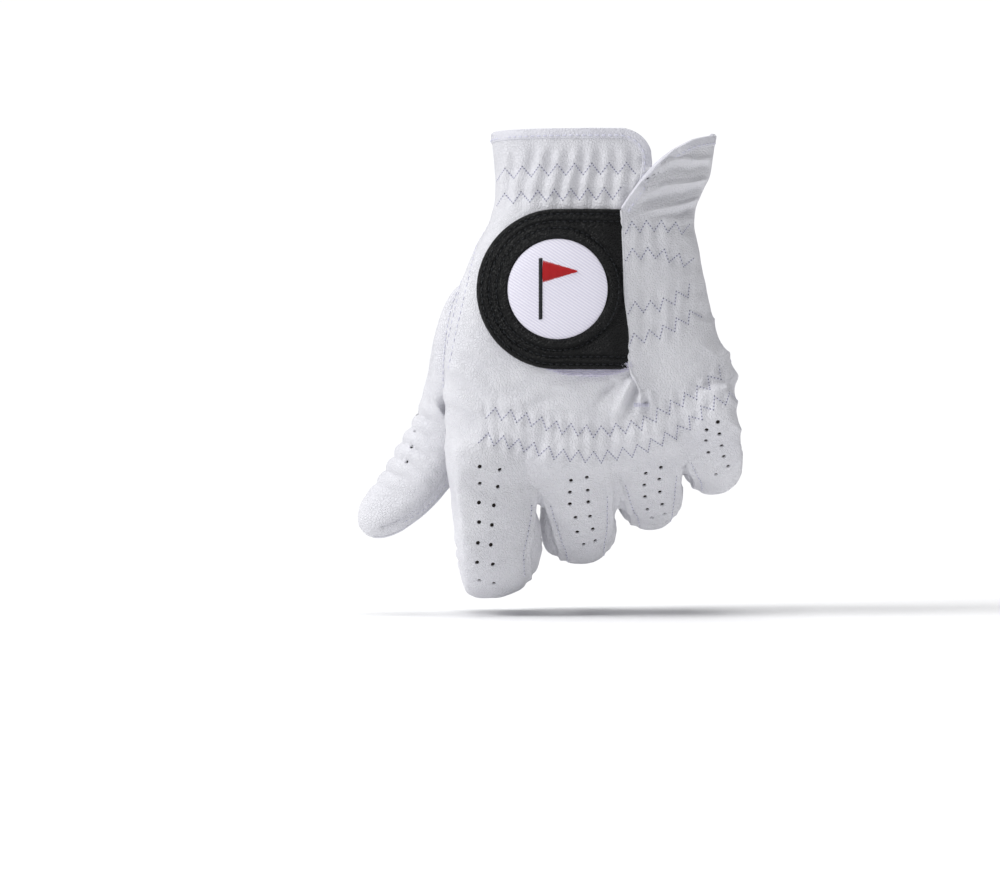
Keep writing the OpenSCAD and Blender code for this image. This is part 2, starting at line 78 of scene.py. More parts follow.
def spread(v, e=SQUARENESS):
    """Squares off a circle's sine or cosine, as a hand's section is squarer than an ellipse."""
    return np.sign(v) * np.abs(v) ** (2 / e)


def cosd(a):
    return np.cos(np.radians(a))


def sind(a):
    return np.sin(np.radians(a))


KEYS = np.array([
    [-0.2, CUFF_W / 2, 0, CUFF_D / 2, 0, 0],
    [0, CUFF_W / 2, 0, CUFF_D / 2, 0, 0],
    [0.25, WRIST_W / 2, HAND_X + 0.6, CUFF_D / 2 - 2.5, 0, 0],
    [0.45, mix(WRIST_W, ROW_W, 0.32) / 2, HAND_X - 3, PALM_D / 2 + 1, 0.5, 3],
    [0.62, mix(WRIST_W, ROW_W, 0.6) / 2, HAND_X - 4.5, PALM_D / 2, 1, 5],
    [0.8, mix(WRIST_W, ROW_W, 0.84) / 2, HAND_X - 3, (PALM_D + KNUCKLE_D) / 4, 0.5, 9],
    [1, ROW_W / 2 + 0.5, HAND_X, KNUCKLE_D / 2, 0, ROW_TILT],
    [1.3, ROW_W / 2 + 0.5, HAND_X, KNUCKLE_D / 2, 0, ROW_TILT],
])


def hand_at(s):
    """Half width, x, half depth, y and tilt of the hand's section at s, a share of the way down it: a
    smooth curve through KEYS, whose rows start with s."""
    s = np.asarray(s, float)
    i = np.clip(np.searchsorted(KEYS[:, 0], s, side="right") - 1, 0, len(KEYS) - 2)
    k0, k1 = KEYS[np.maximum(i - 1, 0)], KEYS[i]
    k2, k3 = KEYS[i + 1], KEYS[np.minimum(i + 2, len(KEYS) - 1)]
    h = k2[..., :1] - k1[..., :1]
    t = (s[..., None] - k1[..., :1]) / h
    m1, m2 = (k2 - k0) * h / (k2[..., :1] - k0[..., :1]), (k3 - k1) * h / (k3[..., :1] - k1[..., :1])
    e = t * t * (3 - 2 * t)
    return k1 + e * (k2 - k1) + t * (1 - t) ** 2 * m1 - t * t * (1 - t) * m2


def hand_point(s, angle, out=0.0):
    s, angle = np.broadcast_arrays(np.asarray(s, float), np.asarray(angle, float))
    k = hand_at(s)
    u, v = spread(cosd(angle)) * (k[..., 1] + out), spread(sind(angle)) * (k[..., 3] + out)
    return np.stack([k[..., 2] + u * cosd(k[..., 5]), k[..., 4] + v, -s * BODY_LEN + u * sind(k[..., 5])], -1)


def hand_place(p):
    """s and angle of points on or near the hand's skin."""
    s = -p[:, 2] / BODY_LEN
    for _ in range(4):
        k = hand_at(s)
        s = (-p[:, 2] + (p[:, 0] - k[:, 2]) * np.tan(np.radians(k[:, 5]))) / BODY_LEN
    k = hand_at(s)
    u = (p[:, 0] - k[:, 2]) / cosd(k[:, 5]) / k[:, 1]
    v = (p[:, 1] - k[:, 4]) / k[:, 3]
    angle = np.degrees(np.arctan2(np.sign(v) * np.abs(v) ** (SQUARENESS / 2),
                                  np.sign(u) * np.abs(u) ** (SQUARENESS / 2))) % 360
    return s, angle


# Fingers: each spine is a run of arcs, [length, turn, how many rings the CAD has there]
FINGER_ROLL, PLANE_TILT, FIRST_HEADING = [12, 0, 0, -6], [6, 9, 9.5, 10], 5.0
TURNS = [[3, 6, 74, 8, 48, 14], [25, 8, 76, 8, 56, 12], [31, 8, 66, 8, 62, 12], [33, 8, 58, 8, 66, 12]]
RINGS = [3, 4, 6, 2, 3, 3]
AT_BEND, AT_MIDDLE, AT_TIP, AT_LAST = 7, 13, 18, 21
FINE = 6                  # rings drawn for each CAD ring
NAMES = ["index", "middle", "ring", "little"]


def finger_spine(f, start):
    lens = [10, STALL_LEN[f], 19, MIDDLE_LEN[f], 14, 8]
    down, back = np.array([sind(PLANE_TILT[f]), 0, -cosd(PLANE_TILT[f])]), np.array([0, 1.0, 0])
    p, a = np.array(start, float), FIRST_HEADING
    points, headings = [p], [a]
    for k in range(6):
        for _ in range(RINGS[k] * FINE):
            turn, run = TURNS[f][k] / RINGS[k] / FINE, lens[k] / RINGS[k] / FINE
            p = p + run * (cosd(a + turn / 2) * down + sind(a + turn / 2) * back)
            a += turn
            points.append(p)
            headings.append(a)
    return np.array(points), np.array(headings), down, back


def row_starts():
    drop = 0.6664 + 0.04 * WIDTHS[0]
    half = (ROW_W - WIDTHS[0]) / 2
    p = np.array([HAND_X - half * cosd(ROW_TILT), 0.5, -BODY_LEN - FOLD_LEN - drop - half * sind(ROW_TILT)])
    out = [p]
    for i, a in enumerate([12.5, 12, 12.5]):
        p = p + ((WIDTHS[i] + WIDTHS[i + 1]) / 2 + FINGER_GAP) * np.array([cosd(a), 0, sind(a)])
        out.append(p)
    return out


SPINES = [finger_spine(f, start) for f, start in enumerate(row_starts())]


def finger_frame(f, i):
    """Centre, side, back and along directions of a finger's ring i, in CAD ring numbers."""
    points, headings, down, back = SPINES[f]
    j = np.clip(np.asarray(i, float) * FINE, 0, len(points) - 1)
    lo = np.minimum(j.astype(int), len(points) - 2)
    t = (j - lo)[..., None]
    c = points[lo] * (1 - t) + points[lo + 1] * t
    h = (headings[lo] * (1 - t[..., 0]) + headings[lo + 1] * t[..., 0])[..., None]
    along, n = cosd(h) * down + sind(h) * back, sind(h) * down - cosd(h) * back
    side0 = np.cross(n, along)
    r = FINGER_ROLL[f]
    return c, side0 * cosd(r) - n * sind(r), n * cosd(r) + side0 * sind(r), along


def finger_half(f, i):
    i = np.asarray(i, float)
    tip = np.where(i <= AT_TIP, 1, np.sqrt(np.maximum(0.0, 1 - ((i - AT_TIP) / 3.02) ** 2)))
    w = WIDTHS[f] / 2 * (1 - 0.12 * i / AT_LAST) * tip
    knuckle = np.where(i < 3, (KNUCKLE_D - 3 - FINGER_T) / 2 * ease(1 - i / 3), 0)
    return w, (FINGER_T / 2 * (1 - 0.1 * i / AT_LAST) + knuckle) * tip


# Outline of a finger stall, in shares of its half width and half thickness, from the little-finger
# side round by the palm to the back. The back strip is flat between its two sewn edges and the
# fourchettes slope away from them.
def stall_outline(f, i, sides=72):
    """Points of the stall's outline at ring i: (u, v) with u along the width and v towards the back."""
    strip = np.interp(i, [0, 4, 8, 13, 21], [0.97, 0.93, 0.74, 0.72, 0.7])
    left = strip if f > 0 else 0.96
    right = (strip if f < 3 else 0.96) - (0.08 * float(ease((i - 5) / 3)) if f == 0 else 0)
    # past the bend the section is rounder, most of all on the outer flanks
    round_l, round_r = (float(ease((i - 5.5) / 4)) * k for k in [(1.0, 0.35), (0.35, 0.8), (0.4, 0.8), (0.4, 1.5)][f])
    knots = np.array([
        [1.0, 0.0], [0.97, -0.45], [0.74, -0.86], [0.35, -0.99], [0, -1.0], [-0.35, -0.99], [-0.74, -0.86],
        [-0.97, -0.45], [-1.0, 0.0], [-mix(1.0, left, 0.35), 0.42], [-mix(1.0, left, 0.95), 0.76 - 0.3 * round_l],
        [-left * 0.8, 0.9 - 0.17 * round_l], [-left * 0.4, 0.985 - 0.04 * round_l], [0, 1.0],
        [right * 0.4, 0.985 - 0.04 * round_r], [right * 0.8, 0.9 - 0.17 * round_r],
        [mix(1.0, right, 0.95), 0.76 - 0.3 * round_r], [mix(1.0, right, 0.35), 0.42 - 0.1 * round_r]])
    m = len(knots)
    t = np.arange(sides) * m / sides
    k = t.astype(int)
    w = (t - k)[:, None]
    p0, p1, p2, p3 = knots[(k - 1) % m], knots[k % m], knots[(k + 1) % m], knots[(k + 2) % m]
    return 0.5 * (2 * p1 + (p2 - p0) * w + (2 * p0 - 5 * p1 + 4 * p2 - p3) * w ** 2
                  + (3 * p1 - p0 - 3 * p2 + p3) * w ** 3)


# Rings at which each finger parts from its neighbour on the thumb side and on the little-finger side
FLANKS = [(0, 2.1), (2.7, 0), (1.2, 0), (2.0, 0)]
PARTS = [(0, 4.5), (5.4, 6.4), (8.0, 4.4), (8.4, 0)]


def finger_surface(f, rings, slim=0.4, web=5.0):
    """Rows of a stall. Above the crotch the leather runs across to the neighbour as a web."""
    rows = []
    for i in rings:
        c, side, back, along = finger_frame(f, np.array(i))
        w, t = finger_half(f, i)
        o = stall_outline(f, i)
        left, right = (web * float(ease((part - i) / 1.8)) if part else 0 for part in PARTS[f])
        # the fourchettes swell towards the neighbour past the crotch
        swell = float(ease((i - 4.5) / 2) * ease((13 - i) / 4))
        deep = ease((0.75 - o[:, 1]) / 0.5)
        right, left = right + FLANKS[f][1] * swell * deep, left + FLANKS[f][0] * swell * deep
        wide = np.where(o[:, 0] > 0, max(w - slim, 0.2) + right, max(w - slim, 0.2) + left)[:, None]
        rows.append(c + o[:, :1] * wide * side + o[:, 1:] * max(t, 0.2) * back)
    return np.array(rows)


def tube_faces(rows, cols, caps=True):
    """Quads of a tube of rows of points, with its two ends closed."""
    faces = []
    for i in range(rows - 1):
        for j in range(cols):
            q = [i * cols + j, i * cols + (j + 1) % cols, (i + 1) * cols + (j + 1) % cols, (i + 1) * cols + j]
            faces.append(q)
    if caps:
        first, last = list(range(cols)), list(range((rows - 1) * cols, rows * cols))
        faces += [first[::-1], last]
    return faces


def make_object(name, points, faces, material, smooth=True):
    """An object from points in millimetres."""
    mesh = bpy.data.meshes.new(name)
    mesh.from_pydata((np.asarray(points, float) * MM).tolist(), [], [list(map(int, q)) for q in faces])
    mesh.update()
    obj = bpy.data.objects.new(name, mesh)
    bpy.context.scene.collection.objects.link(obj)
    if smooth:
        mesh.polygons.foreach_set("use_smooth", [True] * len(mesh.polygons))
    if material:
        mesh.materials.append(material)
    return obj


def outward(obj):
    """Turns every face of a closed shell outwards."""
    bm = bmesh.new()
    bm.from_mesh(obj.data)
    bmesh.ops.recalc_face_normals(bm, faces=bm.faces)
    bm.to_mesh(obj.data)
    bm.free()


def triangles(obj):
    """Points in millimetres and triangles of an object's evaluated mesh."""
    mesh = obj.evaluated_get(bpy.context.evaluated_depsgraph_get()).to_mesh()
    mesh.calc_loop_triangles()
    co = np.empty(len(mesh.vertices) * 3, np.float32)
    mesh.vertices.foreach_get("co", co)
    tri = np.empty(len(mesh.loop_triangles) * 3, np.int32)
    mesh.loop_triangles.foreach_get("vertices", tri)
    return co.reshape(-1, 3).astype(float) / MM, tri.reshape(-1, 3)


def vertex_normals(v, f):
    n = np.cross(v[f[:, 1]] - v[f[:, 0]], v[f[:, 2]] - v[f[:, 0]])
    out = np.zeros_like(v)
    for k in range(3):
        for axis in range(3):
            out[:, axis] += np.bincount(f[:, k], n[:, axis], len(v))
    return unit(out)


def relax(v, f, times, share=0.5):
    """Laplacian smoothing over the mesh's edges."""
    e = np.unique(np.sort(np.vstack([f[:, [0, 1]], f[:, [1, 2]], f[:, [2, 0]]]), 1), axis=0)
    count = np.bincount(e.ravel(), minlength=len(v))[:, None]
    for _ in range(times):
        total = np.zeros_like(v)
        for axis in range(3):
            total[:, axis] = (np.bincount(e[:, 0], v[e[:, 1], axis], len(v))
                              + np.bincount(e[:, 1], v[e[:, 0], axis], len(v)))
        v = v + share * (total / count - v)
    return v


def trim(v, f, n, field):
    """The part of a mesh where field is above 0, cut exactly along field = 0."""
    field = np.where(np.abs(field) < 1e-4, 1e-4, field)
    inside = field > 0
    count = inside[f].sum(1)
    keep = f[count == 3]
    edges, made, tris = {}, [], []

    def crossing(a, b):
        key = (a, b) if a < b else (b, a)
        if key not in edges:
            edges[key] = len(v) + len(made)
            t = field[key[0]] / (field[key[0]] - field[key[1]])
            made.append((key[0], key[1], t))
        return edges[key]

    for tri in f[(count == 1) | (count == 2)]:
        k = [bool(inside[i]) for i in tri]
        odd = k.index(True) if sum(k) == 1 else k.index(False)
        a, b, c = (int(tri[(odd + i) % 3]) for i in range(3))
        ab, ac = crossing(a, b), crossing(a, c)
        if sum(k) == 1:
            tris.append((a, ab, ac))
        else:
            tris += [(ab, b, c), (ab, c, ac)]
    if made:
        i, j, t = (np.array(x) for x in zip(*made))
        t = t[:, None]
        v = np.vstack([v, v[i] * (1 - t) + v[j] * t])
        n = np.vstack([n, unit(n[i] * (1 - t) + n[j] * t)])
    f = np.vstack([keep, np.array(tris, int).reshape(-1, 3)])
    used = np.unique(f)
    back = np.full(len(v), -1)
    back[used] = np.arange(len(used))
    return v[used], back[f], n[used]


def waves(p, size, seed, count=14):
    """Smooth random waves of about one size, between -1 and 1."""
    rng = np.random.default_rng(seed)
    out = np.zeros(len(p))
    for _ in range(count):
        d = unit(rng.normal(size=3))
        out += np.cos(p @ d * (2 * math.pi / size) * rng.uniform(0.7, 1.4) + rng.uniform(0, 2 * math.pi))
    return out / math.sqrt(count) * 0.8


def bump_at(x, centre, width):
    return np.exp(-((x - centre) / width) ** 2)


def linear(hex_colour):
    """An sRGB hex colour as linear RGBA."""
    parts = [int(hex_colour[i:i + 2], 16) / 255 for i in (0, 2, 4)]
    return [p / 12.92 if p <= 0.04045 else ((p + 0.055) / 1.055) ** 2.4 for p in parts] + [1.0]


def node(tree, kind, settings=None, links=None):
    """Adds a shader node. settings go on the node or on its inputs by name, or are a colour ramp's two
    stops; links join an input to another node's output, given as (node, output name)."""
    made = tree.nodes.new(kind)
    for key, value in (settings or {}).items():
        if key == "stops":
            for stop, (position, colour) in zip(made.color_ramp.elements, value):
                stop.position, stop.color = position, colour
        elif key in made.inputs:
            made.inputs[key].default_value = value
        else:
            setattr(made, key, value)
    for key, (source, output) in (links or {}).items():
        tree.links.new(source.outputs[output], made.inputs[key])
    return made


def new_material(name):
    material = bpy.data.materials.new(name)
    material.use_nodes = True
    tree = material.node_tree
    tree.nodes.clear()
    return material, tree


def finish_material(tree, settings, links):
    shader = node(tree, "ShaderNodeBsdfPrincipled", settings, links)
    node(tree, "ShaderNodeOutputMaterial", links={"Surface": (shader, "BSDF")})


def leather_material(name, light, dark, grain_mm, depth, rough, sheen=0.0, gloss=0.35):
    """Full-grain leather: fine pebbled grain cells, slow clouding in the colour and a soft sheen."""
    material, tree = new_material(name)
    place = node(tree, "ShaderNodeTexCoord")
    grain = node(tree, "ShaderNodeTexVoronoi",
                 {"feature": "DISTANCE_TO_EDGE", "Scale": 1000 / grain_mm, "Randomness": 1.0},
                 {"Vector": (place, "Object")})
    fine = node(tree, "ShaderNodeTexNoise", {"Scale": 1500 / grain_mm, "Detail": 3.0, "Roughness": 0.6},
                {"Vector": (place, "Object")})
    cloud = node(tree, "ShaderNodeTexNoise", {"Scale": 60.0, "Detail": 4.0, "Roughness": 0.55},
                 {"Vector": (place, "Object")})
    cells = node(tree, "ShaderNodeValToRGB", {"stops": [(0.0, (0, 0, 0, 1)), (0.22, (1, 1, 1, 1))]},
                 {"Fac": (grain, "Distance")})
    height = node(tree, "ShaderNodeMix", {"data_type": "FLOAT", "Factor": 0.5},
                  {"A": (cells, "Color"), "B": (fine, "Fac")})
    bump = node(tree, "ShaderNodeBump", {"Strength": 0.9, "Distance": depth * MM},
                {"Height": (height, "Result")})
    colour = node(tree, "ShaderNodeValToRGB", {"stops": [(0.3, linear(dark)), (0.7, linear(light))]},
                  {"Fac": (cloud, "Fac")})
    finish_material(tree, {"Roughness": rough, "Specular IOR Level": gloss, "Sheen Weight": sheen,
                           "Sheen Roughness": 0.6},
                    {"Base Color": (colour, "Color"), "Normal": (bump, "Normal")})
    return material


# Cabretta sheepskin, dyed through and softly finished: a matt white with a fine pebbled grain. The grain is drawn
# about 1 mm apart, coarser than the real 0.3 mm, so that it shows at this size.
white_leather = leather_material("white_cabretta_leather", "e0e0e5", "d8d8de", 1.0, 0.34, 0.5, 0.06)

VOXEL = 0.62

hand_s = np.linspace(-0.06, 1.16, 98)
hand_rows = np.array([hand_point(s, np.arange(0, 360, 2.5), -5.5 * max(0, (s - 0.985) / 0.175) ** 1.6)
                      for s in hand_s])
hand_form = make_object("hand_form", hand_rows.reshape(-1, 3), tube_faces(len(hand_s), 144), None)
outward(hand_form)
forms = [hand_form]
for f, name in enumerate(NAMES):
    rings = list(np.linspace(0, AT_TIP, AT_TIP * 3 + 1)) + list(AT_TIP + 3 * np.sin(np.linspace(0.15, 1.45, 9)))
    rows = finger_surface(f, rings)
    # the stall's root reaches up into the hand
    c, side, back, along = finger_frame(f, np.array(0.0))
    roots = [rows[0] * np.array([1, 0.96, 1]) - along * r for r in (9.0, 4.5)]
    rows = np.concatenate([np.array(roots), rows])
    form = make_object(name + "_form", rows.reshape(-1, 3), tube_faces(len(rows), rows.shape[1]), None)
    outward(form)
    forms.append(form)
with bpy.context.temp_override(active_object=hand_form, selected_editable_objects=forms):
    bpy.ops.object.join()
remesh = hand_form.modifiers.new("remesh", "REMESH")
remesh.mode, remesh.voxel_size = "VOXEL", VOXEL * MM
skin, skin_tris = triangles(hand_form)
bpy.data.objects.remove(hand_form)
skin = relax(skin, skin_tris, 4)
# the knuckle fold is drawn out softly
fold = ease(1 - np.abs((skin - np.array([HAND_X, 0, -104])) @ np.array([-sind(ROW_TILT), 0, cosd(ROW_TILT)])) / 13)
soft_skin = relax(skin, skin_tris, 36)
skin = skin + (soft_skin - skin) * fold[:, None]
# so is the index finger's root on the thumb side
root = ease(1 - np.abs(skin[:, 2] + 107) / 13) * ease((-36 - skin[:, 0]) / 8)
softer = relax(skin, skin_tris, 110)
skin = skin + (softer - skin) * root[:, None]

# Which finger each point is on, its ring there, and its distance from that finger's spine in shares of the half width
finger_of = np.full(len(skin), -1)
ring_of = np.zeros(len(skin))
nearest_share = np.full(len(skin), 1e9)
for f in range(4):
    points = SPINES[f][0]
    best, best_d = np.zeros(len(skin)), np.full(len(skin), 1e9)
    for j in range(len(points)):
        d = np.linalg.norm(skin - points[j], axis=1)
        better = d < best_d
        best[better], best_d[better] = j, d[better]
    j = best.astype(int)
    step = points[np.minimum(j + 1, len(points) - 1)] - points[np.maximum(j - 1, 0)]
    off = ((skin - points[j]) * step).sum(1) / (step * step).sum(1) * 2
    best = np.clip(j + np.clip(off, -0.6, 0.6), 0, len(points) - 1) / FINE
    half = WIDTHS[f] / 2
    share = best_d / half
    take = share < nearest_share
    finger_of[take], ring_of[take], nearest_share[take] = f, best[take], share[take]

skin_s, skin_angle = hand_place(skin)
normals = vertex_normals(skin, skin_tris)


def side_share(p, f, i):
    c, side, back, along = finger_frame(f, i)
    w, t = finger_half(f, i)
    r = p - c
    return (r * side).sum(-1) / np.maximum(w, 1), (r * back).sum(-1) / np.maximum(t, 1)


# Soft undulation all over
crease = 0.28 * waves(skin, 26, 1) + 0.13 * waves(skin, 9, 2) + 0.045 * waves(skin, 4.2, 3)
x, y, z = skin.T
front = ease((-normals[:, 1] - 0.05) / 0.4)


def run(x, points):
    """z of a line of (x, z) points at x."""
    px, pz = zip(*points)
    return np.interp(x, px, pz)


# Wrist elastic: it gathers the back into upright flutes between and around two zigzag rows
WRIST_ROWS = [(-14.2, 3.8), (-23.0, 3.9)]
flute = np.cos(2 * math.pi * (x + 0.9 * np.sin(z / 5.0) + 1.2 * waves(skin, 30, 4)) / 5.9)
reach = ease((x + 40) / 6) * ease((13 - x) / 5) * front
between = ease((z + 29) / 6) * ease((-3.5 - z) / 7)
crease += reach * between * (0.55 + 0.15 * waves(skin, 12, 5)) * flute
for row_z, height in WRIST_ROWS:
    crease -= reach * 0.45 * bump_at(z, row_z, 2.4)

# Side elastics: two bands of fine puckers on the side panel, each held by two zigzag rows
SIDE_ROWS = [[(7, -34.5), (18, -33.5), (30, -34.5)], [(7, -44), (18, -43), (31, -46.5)],
             [(8, -62.5), (20, -61.5), (31, -55.5)], [(8, -74), (20, -71), (33.5, -63.5)]]
for k, row in enumerate(SIDE_ROWS):
    puck = np.cos(2 * math.pi * (x + 0.8 * waves(skin, 14, 6 + k)) / 5.4)
    crease += front * ease((x - 7) / 3) * (0.34 * bump_at(z, run(x, row), 4.2) * puck
                                          - 0.3 * bump_at(z, run(x, row), 1.9))

# Knuckle elastic: two rows across the back above the fingers
KNUCKLE_ROWS = [[(-41.4, -99), (-29.8, -100.7), (-15.8, -104.6), (-1.8, -106), (12.3, -103.5), (26.3, -95.4),
                 (33.3, -91.9), (42, -84)],
                [(-43.9, -107.7), (-29.8, -110.5), (-15.8, -114), (-1.8, -115), (12.3, -112.3), (26.3, -106),
                 (38.6, -95.4), (47.4, -93)]]
for k, row in enumerate(KNUCKLE_ROWS):
    puck = np.cos(2 * math.pi * (x + 0.8 * waves(skin, 14, 16 + k)) / 4.9)
    crease += front * ease((x + 45) / 4) * (0.3 * bump_at(z, run(x, row), 3.8) * puck
                                           - 0.32 * bump_at(z, run(x, row), 1.8))

# The side panel's corner droops in long folds that rise to the outside
fold_z = z - 0.34 * (x - 8) + 1.2 * waves(skin, 25, 30)
panel = ease((x - 9) / 8) * ease((z + 33) / 6) * ease((-6 - z) / 5) * front
ridge = 1 - 2 * np.abs(np.sin(math.pi * (fold_z + 3) / 7.0)) ** 0.75
crease += panel * (1.15 * ridge + 0.25 * np.cos(2 * math.pi * fold_z / 3.6))
# the little-finger side stands out at the cuff and is drawn in over the palm's heel
outer_side = ease((normals[:, 0] - 0.1) / 0.6)
crease += outer_side * (2.6 * bump_at(z, -14, 11) - 2.0 * bump_at(z, -71, 14))
# scallops where the palm is squeezed, down the little-finger side
crease += outer_side * ease((-60 - z) / 8) * ease((112 + z) / 8) * 0.6 * (
    1 - 2 * np.abs(np.sin(math.pi * (z + 2.2 * waves(skin, 18, 52)) / 9.5)) ** 0.7)
# broad slack over the back under the tab, drawn towards the slit's end
slack = front * ease((-84 - z) / 6) * ease((103 + z) / 8) * ease((x + 42) / 12) * ease((6 - x) / 12)
crease += slack * 0.35 * np.cos(2 * math.pi * (z * 0.9 - x * 0.3 + 2 * waves(skin, 26, 53)) / 8.5)

# Folds that run out from the end of the slit, where the closed tab pulls
for (ax, az), (bx, bz), wide, high in [((10, -86), (2, -104), 2.3, 1.7), ((5, -87), (-5, -99), 1.8, -0.9),
                                       ((13, -91), (11, -104), 1.7, 1.2), ((12, -89), (5.5, -103), 1.2, -1.3),
                                       ((15.5, -90), (18, -102), 2.0, 0.7), ((14.5, -93), (14.5, -103), 1.2, -0.9),
                                       ((2, -87), (-16, -96), 2.8, 0.5)]:
    d = np.array([bx - ax, bz - az], float)
    size = np.linalg.norm(d)
    d /= size
    t = (x - ax) * d[0] + (z - az) * d[1]
    off = -(x - ax) * d[1] + (z - az) * d[0]
    crease += front * 1.3 * high * np.exp(-(off / (wide * (0.6 + 0.5 * np.clip(t / size, 0, 1)))) ** 2) \
        * ease(t / 2.5) * ease((size - t) / (size * 0.6))

# Thumb side of the back: a long soft valley beside the set-in seam, and slack above the thumb's root
THUMB_SEAM = [(-44.5, -29), (-46.5, -40), (-50, -55), (-53.5, -70), (-56.5, -84)]
seam_x = np.interp(-z, [29, 40, 55, 70, 84], [p[0] for p in THUMB_SEAM])
along_seam = ease((-z - 26) / 8) * ease((92 + z) / 8) * front
crease -= along_seam * 0.3 * bump_at(x, seam_x, 1.1)
crease += along_seam * 0.18 * bump_at(x, seam_x + 2.2, 1.4)
soft = ease((-z - 72) / 14) * ease((106 + z) / 10) * ease((-38 - x) / 6)
crease += soft * 0.45 * np.cos(2 * math.pi * (z * 0.93 + x * 0.5 + waves(skin, 22, 33)) / 9.5)


def strip_edge(f, sign, i):
    """Where a strip's sewn edge is, as a share of the stall's half width."""
    strip = np.interp(i, [0, 4, 8, 13, 21], [0.97, 0.93, 0.74, 0.72, 0.7])
    return strip - (0.08 * ease((i - 5) / 3) if f == 0 and sign > 0 else 0)


# Sewn edges of the finger strips stand up as fine ridges


for f in range(4):
    mine = (finger_of == f) & (ring_of > 1.0)
    u, v = side_share(skin[mine], f, ring_of[mine])
    i = ring_of[mine]
    w, _ = finger_half(f, i)
    grow = ease((i - 3.2) / 1.0)
    lift = np.zeros(mine.sum())
    for sign, sewn in ((-1, f > 0), (1, f < 3)):
        if sewn:
            edge = (sign * u - strip_edge(f, sign, i)) * w
            back_side = ease((v - 0.35) / 0.3)
            lift += grow * back_side * (0.7 * bump_at(edge, 0.1, 0.7) - 0.45 * bump_at(edge, 1.7, 0.9)
                                        - 0.26 * bump_at(edge, -1.7, 0.7))
    # crosswise slack where the stall bends
    bend = ease((i - 5.5) / 2) * ease((14 - i) / 3) * ease((-v + 0.2) / 0.5)
    lift += bend * 0.5 * np.cos(2 * math.pi * i / 1.6)
    crease[mine] += lift

skin = skin + normals * crease[:, None]
normals = vertex_normals(skin, skin_tris)


def skin_piece(name, v, f, n, nodes, thick=None):
    """An object cut from the skin that keeps the skin's own normals, so that no cut shows. Where thick
    is given it has an inner face and a cut edge too."""
    if not thick:
        obj = make_object(name, v, f, white_leather)
        obj.data.normals_split_custom_set_from_vertices(n.tolist())
    else:
        way = np.vstack([f[:, [0, 1]], f[:, [1, 2]], f[:, [2, 0]]])
        _, first, uses = np.unique(np.sort(way, 1), axis=0, return_index=True, return_counts=True)
        rim, count = way[first[uses == 1]], len(v)
        walls = np.column_stack([rim[:, 1], rim[:, 0], rim[:, 0] + count, rim[:, 1] + count])
        faces = f.tolist() + (f[:, ::-1] + count).tolist() + walls.tolist()
        obj = make_object(name, np.vstack([v, v - n * thick]), faces, white_leather)
        loops = np.empty(len(obj.data.loops), np.int32)
        obj.data.loops.foreach_get("vertex_index", loops)
        corners = np.vstack([n, -n])[loops]
        for k, poly in enumerate(obj.data.polygons[2 * len(f):]):
            corners[6 * len(f) + 4 * k:6 * len(f) + 4 * k + 4] = poly.normal
        obj.data.normals_split_custom_set(corners.tolist())
    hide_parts(*nodes)
    return obj


# Where the knuckle fold lies between the hand and the finger row, and where each stall's bend lies between the row and
# its end
ROW_PIVOT = np.array([HAND_X, 0, -BODY_LEN - FOLD_LEN / 2])
ROW_DOWN = np.array([sind(ROW_TILT), 0, -cosd(ROW_TILT)])
ROW_BLEND = ((ROW_PIVOT - FOLD_LEN * ROW_DOWN) * MM, (ROW_PIVOT + FOLD_LEN * ROW_DOWN) * MM)
bend_start, bend_end = [], []
for f in range(4):
    c0, _, _, _ = finger_frame(f, np.array(float(AT_BEND)))
    c1, _, _, _ = finger_frame(f, np.array(float(AT_MIDDLE)))
    bend_start.append(c0 + 0.12 * (c1 - c0))
    bend_end.append(c0 + 0.92 * (c1 - c0))

past_bend = np.full(len(skin), -20.0)
for f in range(4):
    d = bend_end[f] - bend_start[f]
    mine = (finger_of == f) & (ring_of > AT_BEND - 3)
    past_bend[mine] = ((skin[mine] - bend_start[f]) @ unit(d))
skin_s, skin_angle = hand_place(skin)

row_cut = (skin_s - 1.0) * BODY_LEN


def cuff_top(x):
    """The top of the back panel, with its rounded corner under the side panel."""
    t = np.clip((x - 5) / 11.3, 0, 0.995)
    return -11.0 * (1 - np.sqrt(1 - t * t)) - np.where(x > 16.2, (x - 16.2) * 30, 0)


v, f, n = trim(skin, skin_tris, normals, -row_cut)

# The slit's edge, and the side panel's bound top edge, as (z, x) and (x, z) lines over the back
SLIT_LINE = [(-28, 5.7), (-56, 7.0), (-84, 8.7), (-87, 10.2), (-90, 12.2), (-97, 13.4)]
SIDE_TOP = [(5.7, -28.0), (8.8, -23.2), (12.3, -18.5), (18, -12.4), (24, -7.0), (31, -3.3), (39, -1.2), (42, -0.6)]


def slit_x(z):
    return np.interp(-np.asarray(z, float), [-p[0] for p in SLIT_LINE], [p[1] for p in SLIT_LINE])


def side_top_z(x, a):
    """Height of the side panel's top edge: it runs level once it turns to the palm."""
    return np.where(a > 350, mix(run(x, SIDE_TOP), -0.6, ease((a - 350) / 6)), run(x, SIDE_TOP))


# ---------- back panel ----------
# The back of the hand on the thumb side of the slit, in cabretta of one piece with the finger backs. It
# runs on under the side panel, its top corner is round, and its cuff edge is bound.
s, a = hand_place(v)
keep = np.where(a < 100, -30, np.minimum((a - 180.1) * 0.6, np.where(a > 330, -30, slit_x(v[:, 2]) + 3.2 - v[:, 0]
                                                                     + 7 * ease((v[:, 2] + 30) / 8))))
bv, bf, bn = trim(v, f, n, np.clip(keep, -20, 20))
bv, bf, bn = trim(bv, bf, bn, np.clip(cuff_top(bv[:, 0]) - bv[:, 2], -20, 20))
hand_back = skin_piece("hand_back", bv, bf, bn, ["back_leather"], thick=LEATHER)


